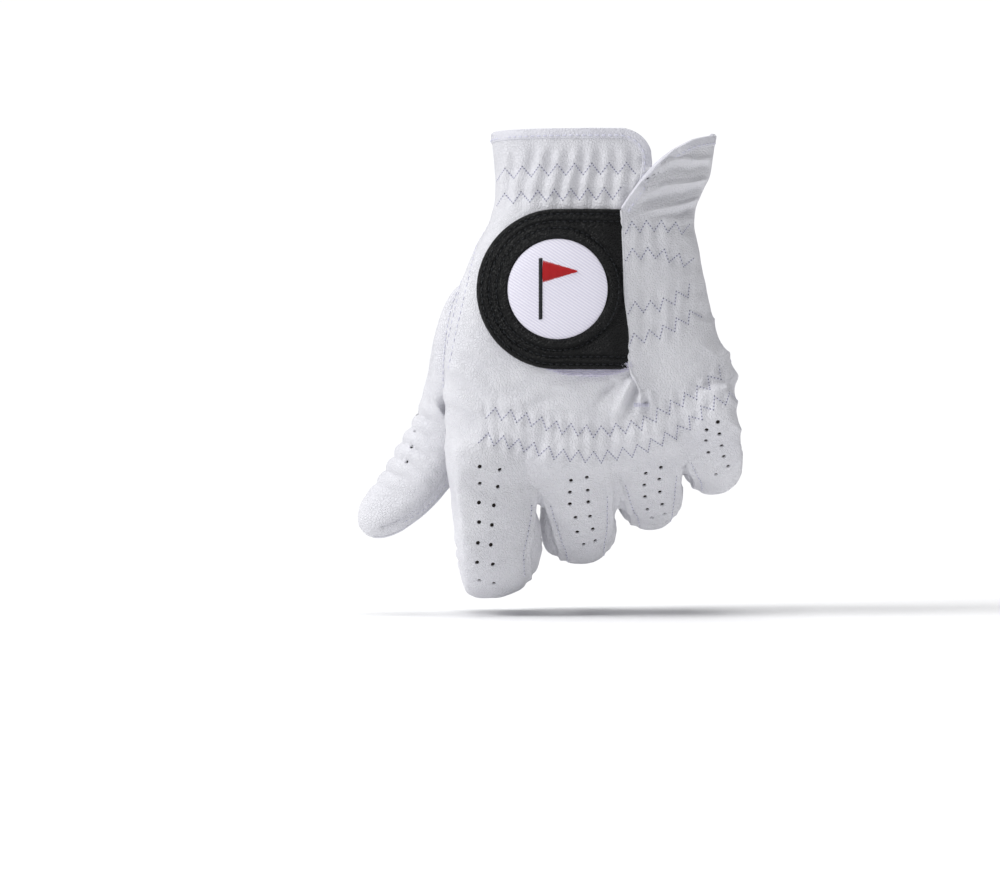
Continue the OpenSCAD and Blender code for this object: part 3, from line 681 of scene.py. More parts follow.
# ---------- side panel ----------
# The cabretta panel on the little-finger side of the slit. It lies over the back panel, so its edge stands
# a little higher, and its cut-away top corner is bound.
lift = 1.25 * ease(1 - np.abs(skin[:, 0] - slit_x(skin[:, 2])) / 9.0)
top_lift = 1.7 * ease(1 - np.abs(side_top_z(skin[:, 0], skin_angle) - skin[:, 2]) / 13) * ease((25 - skin[:, 0]) / 6)
lift = np.maximum(lift, top_lift) * ease((1.0 - skin_s) / 0.06) * (skin_angle > 180)
raised = skin + normals * lift[:, None]
raised_normals = vertex_normals(raised, skin_tris)
v2, f2, n2 = trim(raised, skin_tris, raised_normals, -row_cut)
s, a = hand_place(v2)
keep = np.where(a < 180, (0.1 - a) * 0.6, np.minimum(np.where(a > 320, 30, v2[:, 0] - slit_x(v2[:, 2])),
                                               (360.1 - a) * 0.6))
sv, sf, sn = trim(v2, f2, n2, np.clip(keep, -20, 20))
s, a = hand_place(sv)
sv, sf, sn = trim(sv, sf, sn, np.clip(side_top_z(sv[:, 0], a) - sv[:, 2], -20, 20))
hand_side = skin_piece("hand_side", sv, sf, sn, ["side_leather"], thick=LEATHER)


# ---------- palm panel ----------
# One piece of cabretta over the palm, sewn to the back down the thumb side and joined to the side panel.
# Its cuff edge dips beside the little-finger side.
s, a = hand_place(v)
keep = np.minimum(np.where(a > 270, (a - 360.1) * 0.6, a * 0.6), np.where(a > 270, 30, (180.1 - a) * 0.6))
pv, pf, pn = trim(v, f, n, np.clip(keep, -20, 20))
s, a = hand_place(pv)
PALM_DIP = 12.0


def palm_top(a):
    return -PALM_DIP * np.where((a > 2) & (a < 112), np.sin(np.pi * np.clip((a - 2) / 110, 0, 1)) ** 2, 0)


pv, pf, pn = trim(pv, pf, pn, np.clip(palm_top(a) - pv[:, 2], -20, 20))
hand_palm = skin_piece("hand_palm", pv, pf, pn, ["palm_leather"], thick=LEATHER)


# ---------- finger row ----------
# The knuckle fold and the four stalls as far as their bends: back and front strips with fourchettes
# between them, sewn edge to edge. The strips are one skin here, with their seams drawn in it.
row_v, row_f, row_n = trim(skin, skin_tris, normals, np.minimum(row_cut, np.clip(-past_bend, -20, 20)))
finger_row = skin_piece("finger_row", row_v, row_f, row_n,
                        ["knuckle_back_leather", "knuckle_palm_leather", "index_back", "index_front",
                         "index_fourchette", "middle_back", "middle_front", "middle_fourchettes", "ring_back",
                         "ring_front", "ring_fourchettes", "little_back", "little_front", "little_fourchette"])


# ---------- finger ends ----------
# Each stall past its bend, with its closed end: the same strips, run together at the tip.
ends = []
for k, name in enumerate(NAMES):
    field = np.where(finger_of == k, np.clip(past_bend, -20, 20), -20)
    ev, ef, en = trim(skin, skin_tris, normals, field)
    obj = skin_piece(name + "_tip", ev, ef, en,
                     [name + "_bend_leather", name + "_end", name + "_end_cap"])
    ends.append(obj)


# ---------- perforations ----------
# Two columns of small round holes a finger, punched through the leather so that the hand can breathe. Each
# is a short well here, with a dark disc as its floor: painted shade for the unlit inside of the glove.


def surface_tree(*objects):
    points, faces = [], []
    for obj in objects:
        start = len(points)
        points += [v.co.copy() for v in obj.data.vertices]
        faces += [[start + i for i in p.vertices] for p in obj.data.polygons]
    return BVHTree.FromPolygons(points, faces)


def facing(tree, x, z):
    """The surface point that the front view shows at x and z."""
    hit, normal, _, _ = tree.ray_cast(Vector((x, -200, z)) * MM, Vector((0, 1, 0)))
    return (np.array(hit) / MM, np.array(normal)) if hit else None


# Where each object's dark discs of painted shade go, under its perforations
hole_shade_floors = {}


def punch(obj, centres, radius=0.75, depth=1.1):
    """Punches round holes through a skin at (x, z) points of the front view."""
    tree = surface_tree(obj)
    vertex_normal = {}
    for loop, corner in zip(obj.data.loops, obj.data.corner_normals):
        vertex_normal[loop.vertex_index] = tuple(corner.vector)
    bm = bmesh.new()
    bm.from_mesh(obj.data)
    layer = bm.verts.layers.float_vector.new("keep_normal")
    for vert in bm.verts:
        vert[layer] = Vector(vertex_normal.get(vert.index, (0, -1, 0)))
    for x, z in centres:
        found = facing(tree, x, z)
        if not found or found[1][1] > -0.05:
            continue
        p, normal = Vector(found[0]) * MM, Vector(found[1])
        bm.faces.ensure_lookup_table()
        gone = [q for q in bm.faces if (q.calc_center_median() - p).length < (radius + 0.42) * MM
                and q.normal.dot(normal) > 0.2]
        if not gone or any(e.is_boundary for q in gone for e in q.edges):
            continue
        bmesh.ops.delete(bm, geom=gone, context="FACES")
        hole_shade_floors.setdefault(obj.name, []).append((np.array(p) / MM, np.array(normal)))
        rim = [e for e in bm.edges if e.is_boundary and (e.verts[0].co - p).length < (radius + 1.5) * MM
               and (e.verts[1].co - p).length < (radius + 1.5) * MM]
        side = normal.orthogonal().normalized()
        up = normal.cross(side)
        rings = []
        for level, (r, drop) in enumerate([(radius + 0.12, 0.0), (radius, 0.1), (radius * 0.96, depth)]):
            ring = []
            for k in range(14):
                a = 2 * math.pi * k / 14
                vert = bm.verts.new(p + (side * math.cos(a) + up * math.sin(a)) * r * MM - normal * drop * MM)
                vert[layer] = normal if level == 0 else (normal - (side * math.cos(a) + up * math.sin(a))
                                                         * (1 if level == 1 else 4)).normalized()
                ring.append(vert)
            rings.append(ring)
        edges = [bm.edges.new((rings[0][k], rings[0][(k + 1) % 14])) for k in range(14)]
        try:
            bmesh.ops.bridge_loops(bm, edges=rim + edges)
        except RuntimeError:
            continue
        for a, b in zip(rings, rings[1:]):
            for k in range(14):
                face = bm.faces.new((a[k], a[(k + 1) % 14], b[(k + 1) % 14], b[k]))
                face.smooth = True
    bmesh.ops.triangulate(bm, faces=[q for q in bm.faces if len(q.verts) > 4])
    for face in bm.faces:
        face.smooth = True
    bmesh.ops.recalc_face_normals(bm, faces=bm.faces)
    keep = [tuple(vert[layer]) for vert in bm.verts]
    bm.verts.layers.float_vector.remove(layer)
    bm.to_mesh(obj.data)
    bm.free()
    obj.data.normals_split_custom_set_from_vertices(keep)


# The finished skins, for holes and stitches to lie on
body_tree = surface_tree(hand_back, finger_row)
side_tree = surface_tree(hand_side)
whole_tree = surface_tree(hand_side, hand_back, finger_row)
tip_trees = [surface_tree(o) for o in ends]

PERFORATIONS = {
    "index": [(-43.9, -118.2), (-43.9, -124.2), (-44.2, -130.9), (-44.2, -137.9), (-44.6, -145.3), (-44.9, -152.3),
              (-44.2, -158.9), (-36.8, -119.3), (-37.5, -125.3), (-38.9, -131.9), (-39.6, -138.9), (-40, -146),
              (-39.3, -153), (-39, -160)],
    "middle": [(-11.6, -123.2), (-11.9, -127.4), (-11.9, -131.6), (-9.8, -136.5), (-9.1, -141.8), (-6.7, -146.3),
               (-5.3, -150.2), (-3.9, -153), (-6, -122.1), (-5.6, -126.7), (-5.3, -130.9), (-4.6, -136.1),
               (-3.5, -140.7), (-2.5, -145), (-1.1, -148.8), (0.4, -151.9)],
    "ring": [(15.1, -120.7), (14.7, -124.9), (15.1, -129.1), (16.1, -133.7), (17.9, -136.8), (18.9, -139.3),
             (20.4, -118.6), (20, -122.8), (20.4, -127.4), (21.4, -131.9), (22.5, -135.4), (23.5, -138.2)],
    "little": [(36.1, -105.3), (36.1, -109.1), (37.2, -113.3), (38.9, -117.5), (40.4, -121.1), (41.4, -124.2),
               (40, -102.5), (40.7, -106.7), (41.8, -110.9), (42.8, -114.7), (44.6, -118.2)],
}
for k, name in enumerate(NAMES):
    on_tip = [c for c in PERFORATIONS[name] if facing(tip_trees[k], *c)
              and (not facing(body_tree, *c) or facing(tip_trees[k], *c)[0][1] < facing(body_tree, *c)[0][1])]
    punch(ends[k], on_tip)
punch(finger_row, [c for name in NAMES for c in PERFORATIONS[name] if facing(body_tree, *c)])
for obj in (hand_back, hand_side, hand_palm, finger_row):
    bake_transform(obj)
for k, obj in enumerate(ends):
    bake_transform(obj)


# ---------- zigzag rows and seams on the skin ----------
# White polyester thread: a zigzag stitch holds each elastic to the leather, and straight rows hold the
# strips to each other. The thread sinks in, so mostly its needle holes show; their shade is painted as grey discs.


def thread_material(name, colour, rough=0.55):
    """Twisted polyester thread. The same plain material also makes the hook tape and the discs of painted shade."""
    material, tree = new_material(name)
    place = node(tree, "ShaderNodeTexCoord")
    twist = node(tree, "ShaderNodeTexNoise", {"Scale": 5000.0, "Detail": 2.0}, {"Vector": (place, "Object")})
    bump = node(tree, "ShaderNodeBump", {"Strength": 0.4, "Distance": 0.08 * MM}, {"Height": (twist, "Fac")})
    finish_material(tree, {"Base Color": linear(colour), "Roughness": rough, "Specular IOR Level": 0.3},
                    {"Normal": (bump, "Normal")})
    return material


def resample(points, pitch):
    """Points at an even pitch along a path."""
    points = np.asarray(points, float)
    run = np.concatenate([[0], np.cumsum(np.linalg.norm(np.diff(points, axis=0), axis=1))])
    at = np.linspace(0, run[-1], max(2, int(round(run[-1] / pitch)) + 1))
    return np.stack([np.interp(at, run, points[:, k]) for k in range(3)], 1)


def nearest(tree, point):
    hit, normal, _, _ = tree.find_nearest(Vector(point) * MM)
    return np.array(hit) / MM, np.array(normal)


def project_run(tree, line, pitch):
    """A line of (x, z) points of the front view, laid on a surface at an even pitch, with normals."""
    flat = resample([(px, 0, pz) for px, pz in line], 0.4)
    laid = [facing(tree, p[0], p[2]) for p in flat]
    laid = [q for q in laid if q]
    if len(laid) < 3:
        return [], []
    points = resample([q[0] for q in laid], pitch)
    return points, [nearest(tree, p)[1] for p in points]


def seam_stitches(points, normals, share, lift=0.05):
    """Stitches one after another along a path, each covering a share of its pitch."""
    out = []
    for k in range(len(points) - 1):
        a, b = points[k], points[k + 1]
        gap = (b - a) * (1 - share) / 2
        n = unit(normals[k] + normals[k + 1])
        out.append((a + gap + n * lift, b - gap + n * lift, n))
    return out


def zigzag(row, width, high):
    """(x, z) points of a zigzag about a row of (x, z) points."""
    flat = resample([(px, 0, pz) for px, pz in row], width / 2)
    out = []
    for k, p in enumerate(flat):
        t = flat[min(k + 1, len(flat) - 1)] - flat[max(k - 1, 0)]
        t /= np.linalg.norm(t)
        side = high / 2 * (1 if k % 2 else -1)
        out.append((p[0] - t[2] * side, p[2] + t[0] * side))
    return out


def threads(name, runs, radius, material, sag=0.35, around=6):
    """Short threads, each from a to b over a surface with the given normal, as one mesh."""
    points, faces = [], []
    profile = [(0.0, 0.15, -1.0), (0.07, 0.75, -0.45), (0.28, 1.0, 0.2), (0.72, 1.0, 0.2), (0.93, 0.75, -0.45),
               (1.0, 0.15, -1.0)]
    for a, b, normal in runs:
        along = b - a
        if np.linalg.norm(along) < 1e-6:
            continue
        side = unit(np.cross(along, normal))
        up = unit(np.cross(side, along))
        start = len(points)
        for t, size, rise in profile:
            c = a + along * t + up * radius * (rise if rise > 0 else rise * (1 + sag))
            for k in range(around):
                w = 2 * math.pi * k / around
                points.append(c + (side * math.cos(w) + up * math.sin(w)) * radius * size)
        rows = len(profile)
        faces += [[start + i for i in q] for q in tube_faces(rows, around)]
    obj = make_object(name, np.array(points), faces, material)
    outward(obj)
    return obj


def discs(name, places, radius, material, out=0.03, sides=6):
    """Small discs over a surface, as painted shade: grey ones in needle holes, dark ones under the perforations."""
    points, faces = [], []
    for p, normal in places:
        side = unit(np.cross(normal, [0.3, 0.2, 0.9]))
        up = np.cross(normal, side)
        start = len(points)
        points += [p + normal * out + (side * math.cos(2 * math.pi * k / sides)
                                       + up * math.sin(2 * math.pi * k / sides)) * radius for k in range(sides)]
        faces.append(list(range(start, start + sides)))
    return make_object(name, np.array(points), faces, material)


# Twisted white polyester thread: matt, a little bluer than the leather. Its grey-lilac tone is partly that tint and
# partly painted shade, for the thread sunk into the leather.
white_thread = thread_material("white_thread", "d3d3e2")
# Needle holes: painted shade, a grey disc for the shade in each small dent where a stitch goes down.
needle_hole_shade = thread_material("needle_hole_painted_shade", "78788e", 0.8)
# Painted shade for the unlit inside of the glove, seen through the perforations: almost black, with no gloss.
hole_inside_shade = thread_material("painted_shade_glove_inside", "2a2422", 0.9)

# Radii of fine and coarse thread and of a needle hole's disc of painted shade
FINE_THREAD, COARSE_THREAD, HOLE_SHADE_RADIUS = 0.19, 0.24, 0.27

zig_runs, wrist_hole_shade = [], []
side_runs, side_hole_shade = [], []
row_runs, row_hole_shade = [], []


def stitch_row(tree, line, runs, holes):
    """Lays a zigzag row on a skin: its stitches, and the place of a painted-shade disc for the needle hole at each end
    of a stitch.
    """
    for a, b in zip(line, line[1:]):
        points, normals_here = project_run(tree, [a, b], 1.15)
        if len(points) < 2:
            continue
        runs += seam_stitches(points, normals_here, 0.6, 0.0)
        holes += list(zip(points, normals_here))


for (row_z, height), end_x in zip(WRIST_ROWS, (10.5, 5.5)):
    stitch_row(body_tree, zigzag([(-38.0, row_z - 0.8), (-20, row_z), (end_x, row_z + 0.6)], 5.9, height),
               zig_runs, wrist_hole_shade)
for row in SIDE_ROWS:
    stitch_row(side_tree, zigzag(row, 5.4, 3.9), side_runs, side_hole_shade)
for row in KNUCKLE_ROWS:
    stitch_row(whole_tree, zigzag(row, 5.4, 4.0), row_runs, row_hole_shade)

# Set-in seam of the thumb: two straight rows
for off in (-1.1, 1.3):
    points, normals_here = project_run(body_tree, [(px + off, pz) for px, pz in THUMB_SEAM], 2.5)
    zig_runs += seam_stitches(points, normals_here, 0.7, 0.08)

# Finger strips: one row inside each sewn edge
tip_runs, tip_hole_shade = [[] for _ in NAMES], [[] for _ in NAMES]
for f in range(4):
    for sign, sewn in ((-1, f > 0), (1, f < 3)):
        if not sewn:
            continue
        path = []
        for i in np.linspace(4.4, 10.4, 46):
            c, side, back, along = finger_frame(f, np.array(i))
            w, t = finger_half(f, i)
            u = strip_edge(f, sign, i) - 1.7 / w
            path.append(c + side * sign * u * w + back * t * (math.sqrt(max(0.0, 1 - u ** 2.3)) + 0.1))
        path = resample(path, 1.9)
        for tree, runs, dots in ((body_tree, row_runs, row_hole_shade), (tip_trees[f], tip_runs[f], tip_hole_shade[f])):
            laid = [nearest(tree, p) for p in path]
            good = [np.linalg.norm(q[0] - p) < 3.2 for q, p in zip(laid, path)]
            for k in range(len(laid) - 1):
                if good[k] and good[k + 1]:
                    runs += seam_stitches([laid[k][0], laid[k + 1][0]], [laid[k][1], laid[k + 1][1]], 0.6, 0.03)
                    dots.append(laid[k])

palm_tree = surface_tree(hand_palm)
for a, s_top in ((4.5, 0.06), (172.0, 0.06)):
    line = [nearest(palm_tree, hand_point(s, a)) for s in np.linspace(s_top, 0.97 if a < 90 else 0.44, 200)]
    line = [q for q in line if q[0][2] < -3.5]
    points = resample([q[0] for q in line], 2.4)
    at = [nearest(palm_tree, p) for p in points]
    zig_runs += seam_stitches([q[0] for q in at], [q[1] for q in at], 0.7, 0.06)

hand_stitches = threads("hand_stitches", zig_runs, FINE_THREAD, white_thread)
side_stitches = threads("side_stitches", side_runs, FINE_THREAD, white_thread)
row_stitches = threads("row_stitches", row_runs, FINE_THREAD, white_thread)
# Painted shade: grey discs for the shade in the needle holes
hand_needle_hole_shade = discs("hand_needle_hole_shade", wrist_hole_shade, HOLE_SHADE_RADIUS, needle_hole_shade)
side_needle_hole_shade = discs("side_needle_hole_shade", side_hole_shade, HOLE_SHADE_RADIUS, needle_hole_shade)
row_needle_hole_shade = discs("row_needle_hole_shade", row_hole_shade, HOLE_SHADE_RADIUS, needle_hole_shade)
for obj in (hand_stitches, side_stitches, row_stitches, hand_needle_hole_shade, side_needle_hole_shade, row_needle_hole_shade):
    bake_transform(obj)
for f, name in enumerate(NAMES):
    if tip_runs[f]:
        # painted shade: grey discs in the needle holes along each finger end's strips
        for obj in (threads(name + "_tip_stitches", tip_runs[f], FINE_THREAD, white_thread),
                    discs(name + "_tip_needle_hole_shade", tip_hole_shade[f], 0.24, needle_hole_shade)):
            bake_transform(obj)

# Painted shade: a dark disc under each perforation for the unlit inside of the glove
for obj, bodies in ([(finger_row, ("hand", "fingers", *ROW_BLEND))]
                    + [(ends[f], ("fingers", NAMES[f] + "_end", bend_start[f] * MM, bend_end[f] * MM))
                       for f in range(4)]):
    if obj.name in hole_shade_floors:
        shade_floor_of = discs(obj.name + "_hole_shade_floors", hole_shade_floors[obj.name], 0.85, hole_inside_shade, out=-0.75, sides=10)
        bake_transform(shade_floor_of)


# ---------- thumb ----------
# A set-in thumb: its leather is sewn round a hole in the palm and closed by two long seams, which show
# as a fine welt. It is slack at the root, so it lies in soft cross folds on its outer side.


def bezier(p, t):
    t = np.asarray(t, float)[..., None]
    return (1 - t) ** 3 * p[0] + 3 * t * (1 - t) ** 2 * p[1] + 3 * t * t * (1 - t) * p[2] + t ** 3 * p[3]


THUMB_REACH, THUMB_W, THUMB_T, THUMB_START, THUMB_ROUND = 62.0, 25.0, 19.0, 0.47, 0.9
THUMB_ROOT = hand_point(0.66, 151, -10)
THUMB_PATH = THUMB_ROOT + THUMB_REACH * np.array([[0, 0, 0], [-0.14, 0.28, -0.36], [-0.25, 0.38, -0.84],
                                                  [-0.72, 0.22, -1.19]])
THUMB_BACK = np.array([-0.35, -0.88, 0.3])
THUMB_SIDES = 120
thumb_angles = np.arange(THUMB_SIDES) * 360 / THUMB_SIDES


def thumb_ring(t):
    """The thumb's section at t along its path."""
    d = unit(bezier(THUMB_PATH, t + 0.001) - bezier(THUMB_PATH, t - 0.001))
    b = unit(THUMB_BACK - (THUMB_BACK @ d) * d)
    side = np.cross(d, b)
    k = 1.0 if t < THUMB_ROUND else math.sqrt(max(0.004, 1 - ((t - THUMB_ROUND) / (1.004 - THUMB_ROUND)) ** 2))
    # the thumb is fullest over its ball and slimmer at its joint
    full = (1 + 0.05 * math.cos((t - 0.72) * 9)) * (1 - 0.2 * ease((t - 0.62) / 0.38))
    w, h = THUMB_W / 2 * (1 - 0.12 * t) * k * full, THUMB_T / 2 * (1 - 0.1 * t) * k * full
    return (bezier(THUMB_PATH, t) + side * (spread(cosd(thumb_angles)) * w)[:, None]
            - b * (spread(sind(thumb_angles)) * h)[:, None])


RIM_S, RIM_A = (8 / 16, 14 / 16), (120.0, 170.0)


def rim_ring(out):
    u, w = spread(cosd(thumb_angles + 90), 6), spread(sind(thumb_angles + 90), 6)
    ds, da = (RIM_S[1] - RIM_S[0]) / 2 - 0.4 / BODY_LEN, (RIM_A[1] - RIM_A[0]) / 2 - 0.6
    return hand_point(sum(RIM_S) / 2 - w * ds, sum(RIM_A) / 2 + u * da, out)


rows = [(1 - t) ** 2 * rim_ring(-0.6) + 2 * t * (1 - t) * rim_ring(10) + t * t * thumb_ring(THUMB_START)
        for t in np.linspace(0, 1, 34)]
thumb_ts = np.concatenate([np.linspace(THUMB_START, THUMB_ROUND, 46)[1:],
                           THUMB_ROUND + (1 - THUMB_ROUND) * np.sin(np.linspace(0.06, math.pi / 2, 22))])
rows += [thumb_ring(float(t)) for t in thumb_ts]
thumb_grid = np.array(rows)
for _ in range(60):                # the root and the thumb run into each other without a step
    middle = thumb_grid[20:52]
    around = (thumb_grid[19:51] + thumb_grid[21:53]) / 2
    thumb_grid[20:52] = middle + 0.5 * (around - middle)
count = thumb_grid.shape[0]
flat = thumb_grid.reshape(-1, 3)
thumb_tris = np.array([t for q in tube_faces(count, THUMB_SIDES, caps=False) for t in ((q[0], q[1], q[2]),
                                                                                     (q[0], q[2], q[3]))])
thumb_n = vertex_normals(flat, thumb_tris)
centre = thumb_grid.mean(1, keepdims=True)
if ((flat - np.repeat(centre, THUMB_SIDES, 1).reshape(-1, 3)) * thumb_n).sum(1).mean() < 0:
    thumb_n, thumb_tris = -thumb_n, thumb_tris[:, ::-1]
length = np.repeat(np.concatenate([[0], np.cumsum(np.linalg.norm(np.diff(thumb_grid.mean(1), axis=0), axis=1))]),
                   THUMB_SIDES)
outer = ease((0.75 - thumb_n[:, 0]) / 0.5) * ease((0.6 - thumb_n[:, 1]) / 0.6)
far = ease((131 + flat[:, 2]) / 9) * ease((-88 - flat[:, 2]) / 12)
wave = flat[:, 2] * 0.86 + flat[:, 0] * 0.5 + 0.2 + 0.35 * waves(flat, 20, 41)
inner = ease((-56 - flat[:, 0]) / 8)           # the folds die out towards the hand
lift = outer * far * inner * 0.62 * (2 * np.abs(np.sin(math.pi * wave / 5.9)) ** 0.8 - 1)
lift += 0.25 * waves(flat, 22, 42) + 0.1 * waves(flat, 8, 43)
# One long seam runs down the front, near the lower edge; the leather dips into it
SEAM_LINE = [(-50.5, -113.0), (-54.3, -119.3), (-59.5, -127.0), (-65.1, -132.8), (-72.5, -137.6), (-79.5, -140.4)]
for (ax, az), (bx, bz) in zip(SEAM_LINE, SEAM_LINE[1:]):
    span = np.array([bx - ax, bz - az])
    t = np.clip(((flat[:, 0] - ax) * span[0] + (flat[:, 2] - az) * span[1]) / (span @ span), 0, 1)
    off = np.hypot(flat[:, 0] - ax - t * span[0], flat[:, 2] - az - t * span[1])
    inside = (t > 0) & (t < 1) | (ax == SEAM_LINE[0][0])
    lift -= np.where(inside & (thumb_n[:, 1] < 0), 0.55 * bump_at(off, 0.0, 0.8), 0)
flat = flat + thumb_n * lift[:, None] * ease(length / 3)[:, None]
thumb_n = vertex_normals(flat, thumb_tris)
end_cap = [list(range((count - 1) * THUMB_SIDES, count * THUMB_SIDES))]
thumb = make_object("thumb", flat, thumb_tris.tolist() + end_cap, white_leather)
outward(thumb)
thumb_tree = surface_tree(thumb)
thumb_grid = flat.reshape(count, THUMB_SIDES, 3)
thumb_normals = thumb_n.reshape(count, THUMB_SIDES, 3)
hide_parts("thumb_base_leather", "thumb_back", "thumb_front")


def sweep(name, points, ups, section, material):
    """A section swept along points. section gives (across, up) offsets, counterclockwise."""
    points, ups, section = np.asarray(points, float), unit(np.asarray(ups, float)), np.asarray(section, float)
    tangent = unit(np.gradient(points, axis=0))
    ups = unit(ups - (ups * tangent).sum(1, keepdims=True) * tangent)
    across = np.cross(tangent, ups)
    rows = [p + section[:, :1] * a + section[:, 1:] * u for p, a, u in zip(points, across, ups)]
    obj = make_object(name, np.concatenate(rows), tube_faces(len(rows), len(section)), material)
    outward(obj)
    return obj


def rounded_section(left, right, low, high, radius, steps=5):
    """A rounded rectangle of (across, up) offsets."""
    out = []
    for cx, cy, start in ((right - radius, high - radius, 0), (left + radius, high - radius, 90),
                          (left + radius, low + radius, 180), (right - radius, low + radius, 270)):
        for k in range(steps):
            a = math.radians(start + 90 * k / (steps - 1))
            out.append((cx + radius * math.cos(a), cy + radius * math.sin(a)))
    return out


# Thin folded leather strips: the same white leather, pressed smoother, with its colour clouding a little darker.
binding_leather = leather_material("white_binding_leather", "e0e0e6", "d3d3dc", 1.0, 0.26, 0.42)
front_line = project_run(thumb_tree, SEAM_LINE, 0.8)
column = 56
far_line = (thumb_grid[36:count - 6, column], thumb_normals[36:count - 6, column])
welts = [sweep("thumb_welt", front_line[0], front_line[1], rounded_section(-0.35, 0.35, -0.6, 0.12, 0.3, 4),
               binding_leather),
         sweep("thumb_welt", far_line[0], far_line[1], rounded_section(-0.5, 0.5, -0.5, 0.4, 0.4, 4), binding_leather)]
with bpy.context.temp_override(active_object=welts[0], selected_editable_objects=welts):
    bpy.ops.object.join()
thumb_welt = welts[0]
thumb_welt.name = "thumb_welt"
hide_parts("thumb_seam_welt")

# the seam that sets the thumb in the palm, all round its root
thumb_runs = []
rim_line = resample(np.vstack([rim_ring(1.2), rim_ring(1.2)[:1]]), 2.4)
root_tree = surface_tree(hand_palm, thumb)
at = [nearest(root_tree, p) for p in rim_line]
thumb_runs += seam_stitches([q[0] for q in at], [q[1] for q in at], 0.7, 0.06)
points, normals_here = project_run(thumb_tree, [(px + 1.0, pz - 0.9) for px, pz in SEAM_LINE[1:-1]], 2.4)
thumb_runs += seam_stitches(points, normals_here, 0.68, 0.05)
thumb_stitches = threads("thumb_stitches", thumb_runs, 0.15, white_thread)
punch(thumb, [(-66.3, -99), (-67.7, -105.3), (-68.8, -111.2), (-70.5, -116.5), (-73, -122.8)], radius=0.6)
# Painted shade: dark discs under the thumb's perforations for the glove's unlit inside
thumb_hole_shade = discs("thumb_hole_shade_floors", hole_shade_floors["thumb"], 0.75, hole_inside_shade, out=-0.75, sides=10)
for obj in (thumb, thumb_welt, thumb_stitches, thumb_hole_shade):
    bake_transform(obj)


# ---------- cuff binding and side binding ----------
# A thin leather strip folded over the cut edge and sewn down with one row along its lower border. One
# runs round the cuff, and one along the side panel's cut-away corner.
BINDING_H, BINDING_T = 3.3, 0.4


def bind(name, path, tree, nodes):
    """A binding over an edge path on a skin, with its stitches. The panel lies to the path's right."""
    path = resample(path, 0.6)
    along = unit(np.gradient(path, axis=0))
    s, a = hand_place(path)
    outwards = unit(hand_point(s, a, 1.0) - hand_point(s, a, 0.0))
    down = unit(np.cross(along, outwards))
    # the skin's own direction, a little inside the cut edge
    n = np.array([nearest(tree, p + d * 1.8)[1] for p, d in zip(path, down)])
    for _ in range(30):
        n[1:-1] = (n[:-2] + n[2:] + n[1:-1]) / 3
        down[1:-1] = (down[:-2] + down[2:] + down[1:-1]) / 3
    n = unit(n - (n * along).sum(1, keepdims=True) * along)
    down = unit(np.cross(along, n))
    section = rounded_section(-0.3, BINDING_H, -LEATHER - 0.3, BINDING_T, 0.4, 5)
    # the strip follows the skin, and the row of stitches pulls a groove into it
    reaches = np.linspace(0, BINDING_H, 9)
    above = np.array([[(nearest(tree, p + d * u)[0] - p - d * u) @ m for u in reaches]
                      for p, d, m in zip(path, down, n)])
    above = np.clip(above, -1.5, 1.5)
    above[:, 0] = above[:, 1]
    for _ in range(6):
        above[1:-1] = (above[:-2] + above[2:] + above[1:-1]) / 3
    laid = []
    for u, w in section:
        k = np.clip(u / BINDING_H * 8, 0, 7.999)
        skin_high = above[:, int(k)] * (1 - k % 1) + above[:, int(k) + 1] * (k % 1)
        groove = 0.22 * bump_at(u, BINDING_H - 1.0, 0.35) if w > 0 else 0
        laid.append(path + down * u + n * (skin_high + w - groove)[:, None])
    rows = np.stack(laid, 1)
    stitch_high = (above[:, 5] + BINDING_T - 0.05)[:, None]
    obj = make_object(name, rows.reshape(-1, 3), tube_faces(len(rows), len(section)), binding_leather)
    outward(obj)
    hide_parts(*nodes)
    line = resample(path + down * (BINDING_H - 1.0) + n * stitch_high, 2.3)
    step = np.linspace(0, len(path) - 1, len(line)).astype(int)
    made = threads(name + "_stitches", seam_stitches(list(line), list(n[step]), 0.74, 0.1), COARSE_THREAD, white_thread)
    for o in (obj, made):
        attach(o, "hand")


def back_y(x, z, out=0.0):
    """The y of the hand's back over a point of the front view."""
    x, z = np.asarray(x, float), np.asarray(z, float)
    s = -z / BODY_LEN
    for _ in range(4):
        k = hand_at(s)
        s = (-z + (x - k[..., 2]) * np.tan(np.radians(k[..., 5]))) / BODY_LEN
    k = hand_at(s)
    u = np.clip(np.abs(x - k[..., 2]) / cosd(k[..., 5]) / (k[..., 1] + out), 0, 0.999)
    return k[..., 4] - (k[..., 3] + out) * (1 - u ** SQUARENESS) ** (1 / SQUARENESS)


corner_x = np.linspace(5.0, 16.25, 26)
back_path = [hand_point(0.0, a) for a in np.linspace(180.4, 276.5, 60)]
back_path += [np.array([cx, float(back_y(cx, cuff_top(cx))), float(cuff_top(cx))]) for cx in corner_x
              if cx > back_path[-1][0] + 0.3]
back_path += [np.array([x_at, float(back_y(x_at, z_at)), z_at]) for x_at, z_at in
              zip(np.linspace(16.1, 14.8, 6), np.linspace(-13, -20, 6))]
bind("cuff_binding", back_path, surface_tree(hand_back), ["cuff_binding"])
palm_angles = np.linspace(0.6, 179.6, 120)
palm_path = [hand_point(-palm_top(a) / BODY_LEN, a) for a in palm_angles]
bind("cuff_binding_palm", palm_path, surface_tree(hand_palm), [])
side_xs = np.concatenate([np.linspace(5.9, 36.5, 60), hand_point(0.0, np.linspace(345, 359.4, 12))[:, 0]])
side_path = []
for x_at in np.unique(side_xs):
    z_at = float(run(x_at, SIDE_TOP)) - 0.25
    found = facing(side_tree, x_at, z_at - 0.2)
    if found and found[0][1] < 2:
        side_path.append(found[0] + np.array([0, 0, 0.25]))
bind("side_binding", side_path, side_tree, ["side_binding"])


